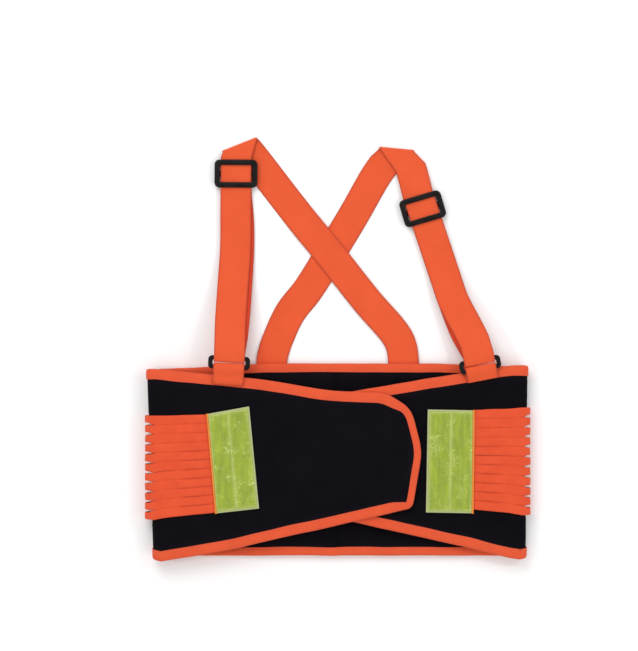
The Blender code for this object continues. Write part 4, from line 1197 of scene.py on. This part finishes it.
def strap(side, ring_centre, run, ring_z, route, crease, crease_ends, back_route, seed):
    """One shoulder strap: ring hairpin and front run, and the back run. Returns the hairpin."""
    half_gap = RING_THICK / 2 + 0.4 + WEBBING / 2
    bar_edge = Vector(ring_centre) - run * (RING_WINDOW[1] / 2 + 0.5)
    turn = hairpin(bar_edge, run, ring_z, half_gap)
    start, end = [shifted(turn[0], -run * UNDER_LEG)], [shifted(turn[-1], -run * OVER_LEG)]
    centre = Vector(crease)
    front = smooth(route, ROUTE_STEP)
    arriving = (centre - Vector(front[-1][:2])).normalized()
    leaving = (Vector(back_route[0][:2]) - centre).normalized()
    low_z = back_route[0][2]
    fold = crease_sections(arriving, leaving, crease_ends, low_z + 2 * SHOULDER_R, low_z)
    sections = start + turn + end + strip_sections(front) + fold + [shifted(fold[-1], leaving * 3.0)]
    made = webbing(side + "_front_webbing", sections, WEBBING, seed, (side + "_front_strap",))
    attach(made, "belt")
    first = shifted(fold[-1], leaving * 3.0 + leaving * 0.1)
    rest = [(a, b, -n) for a, b, n in strip_sections(smooth(back_route, ROUTE_STEP), -1)]
    made = webbing(side + "_back_webbing", [first] + rest, WEBBING, seed + 3, (side + "_back_strap",))
    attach(made, "belt")
    return turn


def return_strap(side, turn, run, route, blend, seed):
    """The strap's second layer, from the ring up to the adjuster's middle bar, in webbing painted darker as
    shade.
    """
    left, right, normal = shifted(turn[0], -run * (UNDER_LEG + GAP))
    sections = [(left, right, -normal)] + strip_sections(smooth(route, ROUTE_STEP))
    made = webbing(side + "_shaded_return_webbing", sections, WEBBING, seed, (side + "_return_strap",),
                   "return", 0.08)
    bend_or_ride(made, blend)


def strap_tab(side, ring_centre, run, ring_z, panel_top, tail, seed):
    """The webbing loop that holds a ring to the belt's top edge, with its bar tacks."""
    half_gap = RING_THICK / 2 + 0.4 + STRAP_TAB / 2
    bar_edge = Vector(ring_centre) + run * (RING_WINDOW[1] / 2 + 0.5)
    turn = hairpin(bar_edge, -run, ring_z, half_gap)
    lower = panel_top + GAP + 0.6 + GAP + STRAP_TAB / 2
    upper = lower + STRAP_TAB + GAP

    def leg(section, reach, z):
        left, right, _ = section
        a, b = (Vector((*(p.to_2d() + run * reach), z)) for p in (left, right))
        return a, b, UP

    tops = ((6.0, turn[-1][0].z), (9.0, (turn[-1][0].z + upper) / 2), (12.0, upper), (tail, upper))
    top = [leg(turn[-1], reach, z) for reach, z in tops]
    bottom = [leg(turn[0], reach, lower) for reach in (tail, 6.0)]
    sections = [(a, b, -n) for a, b, n in bottom] + turn + top
    made = webbing(side + "_tab_webbing", sections, STRAP_TAB, seed, (side + "_strap_tab",), lie=0.06)
    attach(made, "belt")
    rows = []
    for reach in (tail - 1.6, tail - 5.0):
        a, b, n = leg(turn[-1], reach, upper + STRAP_TAB / 2 + 0.05)
        rows.append([(a.lerp(b, 0.06 + 0.88 * k / 10), n) for k in range(11)])
    sewn = merged([stitches(row, 2.6, 2.0, 0.5, 0.3) for row in rows])
    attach(piece(side + "_tab_webbing_stitching", "orange_thread", *sewn), "belt")


# ---------------------------------------------------------------- moulded hardware


def superellipse():
    """A moulded bar's rounded section, as unit (across, up) points."""
    found, count, power = [], 16, 0.5
    for k in range(count):
        q = 2 * math.pi * (k + 0.5) / count
        c, s = math.cos(q), math.sin(q)
        found.append((math.copysign(abs(c) ** power, c), math.copysign(abs(s) ** power, s)))
    return found


MOULDED = superellipse()
MOULDED_EDGES = [max(0.0, abs(c) + abs(s) - 1.35) for c, s in MOULDED]


def frame_loop(size, window, radius, inner_radius, heights):
    """A closed frame swept round a rounded rectangle: heights(on_end) gives its low and high."""
    (wx, wy), (hx, hy) = (window[0] / 2, window[1] / 2), (size[0] / 2, size[1] / 2)
    stations = []
    corners = (((1, 1), 0), ((-1, 1), 90), ((-1, -1), 180), ((1, -1), 270))
    for (sx, sy), start in corners:
        outer_c = Vector((sx * (hx - radius), sy * (hy - radius)))
        inner_c = Vector((sx * (wx - inner_radius), sy * (wy - inner_radius)))
        for k in range(7):
            q = math.radians(start + 90 * k / 6)
            way = Vector((math.cos(q), math.sin(q)))
            stations.append((inner_c + way * inner_radius, outer_c + way * radius, False))
        if sy * sx > 0:  # the straight end between this corner and the next
            reach = wx - inner_radius
            for x in (reach - 0.8, reach * 0.5, 0.0, -reach * 0.5, 0.8 - reach):
                stations.append((Vector((sx * x, sy * wy)), Vector((sx * x, sy * hy)), True))
    points, uv, wear_and_shade = [], [], []
    run, last = 0.0, None
    for inner, outer, on_end in stations:
        low, high = heights(on_end)
        middle, half = (inner + outer) / 2, (outer - inner) / 2
        run += (middle - last).length if last else 0.0
        last = middle
        for j, (c, s) in enumerate(MOULDED):
            p = middle + half * c
            points.append(Vector((p.x, p.y, (low + high) / 2 + (high - low) / 2 * s)))
            uv.append((j * 1.3, run))
        wear_and_shade += MOULDED_EDGES
    return points, tube(len(stations), len(MOULDED), closed=True), uv, wear_and_shade


def bar(reach, half_width, low, high):
    """A rounded bar along x between two side rails."""
    lengths = [reach * share for share in (-1.0, -0.6, 0.0, 0.6, 1.0)]
    middle, half = (low + high) / 2, (high - low) / 2
    rings = [[Vector((x, half_width * c, middle + half * s)) for c, s in MOULDED] for x in lengths]
    return loft(rings, lengths, MOULDED_EDGES)


def placed(parts, centre, tilt):
    points, faces, uv, wear_and_shade = merged(parts)
    turn = Matrix.Rotation(math.radians(tilt), 3, "Z")
    return [turn @ p + Vector((*centre, 0)) for p in points], faces, uv, wear_and_shade


def ring(side, centre, z, tilt):
    heights = (z - RING_THICK / 2, z + RING_THICK / 2)
    loop = frame_loop(RING_SIZE, RING_WINDOW, 4.5, 1.2, lambda on_end: heights)
    made = piece(side + "_ring_moulding", "plastic", *placed([loop], centre, tilt),
                 stands_for=(side + "_ring",), slot="plastic")
    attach(made, "belt")


def adjuster(side, centre, tilt):
    """A three-bar slide: the strap runs under its end bars and over its middle bar."""
    low, high = ADJUSTER_Z
    window = (ADJUSTER_WINDOW, ADJUSTER_SIZE[1] - 2 * ADJUSTER_BAR)
    loop = frame_loop(ADJUSTER_SIZE, window, 5.5, 1.6,
                      lambda on_end: (high - ADJUSTER_BAR_THICK if on_end else low, high))
    middle = bar(ADJUSTER_WINDOW / 2 + 1.0, ADJUSTER_BAR / 2, low, low + ADJUSTER_BAR_THICK)
    made = piece(side + "_adjuster_moulding", "plastic", *placed([loop, middle], centre, tilt),
                 stands_for=(side + "_adjuster",), slot="plastic")
    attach(made, side + "_adjuster")


def straps():
    line = Vector(RIGHT_ADJUSTER)

    def down(distance, z):
        return (*(line + RIGHT_RUN * distance), z)

    left_run, right_run = Vector((-0.055, -1.0)).normalized(), Vector((0.191, -0.982)).normalized()
    left_ring, right_ring = (-119.1, -14.9), (156.2, -17.2)
    tab_stack = PANEL / 2 + 0.6 + 2 * GAP + STRAP_TAB + 0.4 + RING_THICK / 2
    left_z, right_z = LEFT_Z + tab_stack, RIGHT_Z + tab_stack
    ring("left", left_ring, left_z, -3.1)
    ring("right", right_ring, right_z, 11.0)
    strap_tab("left", left_ring, left_run, left_z, LEFT_Z + PANEL / 2, 21.0, 41)
    strap_tab("right", right_ring, right_run, right_z, RIGHT_Z + PANEL / 2, 14.3, 43)
    left_turn = strap(
        "left", left_ring, left_run, left_z,
        [(-118.2, 12, 26.5), (-117.6, 36, 19.5), (-115.2, 74, 9.5), (-112.8, 112, FRONT_Z),
         (-112.5, 150, FRONT_Z), (-112.2, 190, FRONT_Z), (-112.0, 211, FRONT_Z)],
        (-111.5, 226.0), ((-127.0, 217.2), (-88.8, 232.4)),
        [(-91.5, 209.8, LOW_Z), (-50.8, 157.0, LOW_Z), (-34.0, 135.8, HIGH_Z), (-8.5, 104.8, HIGH_Z),
         (31.6, 53.9, HIGH_Z), (60.0, 21.5, HIGH_Z), (70.0, 4.0, HIGH_Z), (72.9, -18.7, HIGH_Z),
         (73.0, -58.0, HIGH_Z)], 51,
    )
    right_turn = strap(
        "right", right_ring, right_run, right_z,
        [(150.4, 8, 20.5), (143.6, 22, 17.0), down(106, 10.5), down(78, 6.0), down(62, FRONT_Z),
         down(30, FRONT_Z), down(0, FRONT_Z), down(-19, FRONT_Z), (84.6, 186.0, 4.2), (80.5, 200.5, 3.4)],
        (65.5, 218.8), ((46.0, 221.6), (84.4, 218.1)),
        [(50.5, 203.0, LOW_Z), (39.5, 186.5, LOW_Z), (16.8, 146.3, LOW_Z), (-8.5, 104.5, LOW_Z),
         (-31.6, 67.1, LOW_Z), (-52.0, 40.7, LOW_Z), (-64.6, 14.3, LOW_Z), (-71.5, -6.0, 1.8),
         (-72.9, -20.0, HIGH_Z), (-73.0, -58.0, HIGH_Z)], 61,
    )
    return_strap(
        "left", left_turn, left_run,
        [(-115.5, 14, 22.2), (-113.4, 36, 16.6), (-111.0, 74, 6.6), (-109.2, 112, RETURN_Z),
         (-109.4, 140, RETURN_Z), (-111.8, 170, RETURN_Z), (-112.2, 189.8, RETURN_Z)],
        ("left_adjuster", (-111.0, 80.0, RETURN_Z), (-112.0, 186.0, RETURN_Z)), 71,
    )
    return_strap(
        "right", right_turn, right_run,
        [(146.0, 9, 16.4), (139.2, 22, 13.6), down(106, 7.6), down(78, 3.6), down(62, RETURN_Z),
         down(30, RETURN_Z), down(3.6, RETURN_Z)],
        ("right_adjuster", down(104, RETURN_Z), down(6, RETURN_Z)), 73,
    )
    adjuster("left", LEFT_ADJUSTER, -0.4)
    adjuster("right", RIGHT_ADJUSTER, 16.5)


# ---------------------------------------------------------------- stage


def stage():
    """A plain pale floor, soft lights from above and a camera looking straight down."""
    data = bpy.data.meshes.new("floor")
    corners = [(x * FLOOR_REACH, y * FLOOR_REACH, 0) for x, y in ((-1, -1), (1, -1), (1, 1), (-1, 1))]
    data.from_pydata(corners, [], [(0, 1, 2, 3)])
    made, tree, shader = blank("floor_card", specular_ior_level=0.1)
    place = node(tree, "TexCoord").outputs["Object"]
    fibres = grain(tree, place, 900.0, 3.0)
    paper = blend_colours(tree, fibres, (0.945, 0.945, 0.945), (0.965, 0.965, 0.965))
    tree.links.new(paper, shader.inputs["Base Color"])
    tree.links.new(span_to(tree, fibres, 0.3, 0.7, 0.85, 0.95), shader.inputs["Roughness"])
    data.materials.append(made)
    floor = shown("floor", data)

    world = bpy.data.worlds.new("studio")
    world.use_nodes = True
    background = world.node_tree.nodes["Background"].inputs
    background["Color"].default_value = (1.0, 1.0, 1.0, 1.0)
    background["Strength"].default_value = 0.72
    bpy.context.scene.world = world
    for name, place, size, power in (
        ("key", (-0.7, 1.5, 1.9), 1.6, 21.0),
        ("fill", (1.4, -0.8, 1.6), 1.6, 7.0),
        ("glint_left", (-0.75, -0.15, 0.95), 0.12, 1.2),
        ("glint_right", (0.75, 0.25, 0.95), 0.12, 1.2),
    ):
        lamp = bpy.data.lights.new(name, "AREA")
        lamp.shape = "DISK"
        lamp.size = size
        lamp.energy = power
        made = shown(name, lamp)
        made.location = place
        made.rotation_euler = (-Vector(place)).to_track_quat("-Z", "Y").to_euler()

    camera = bpy.data.cameras.new("camera")
    camera.sensor_width = 36.0
    camera.lens = camera.sensor_width * (CAMERA[2] - BELT_MIDDLE) / VIEW_TALL
    made = shown("camera", camera)
    made.location = CAMERA
    bpy.context.scene.camera = made
    bpy.context.scene.view_settings.view_transform = "Standard"


PALE_PLASTIC = cad_plastic("stay_plastic")
fabric_body()
fasteners()
grip_tab("left", LEFT_TAB, 0, LEFT_Z)
grip_tab("right", RIGHT_TAB, 1, RIGHT_Z)
elastic()
stays()
straps()
stage()

bpy.context.view_layer.update()
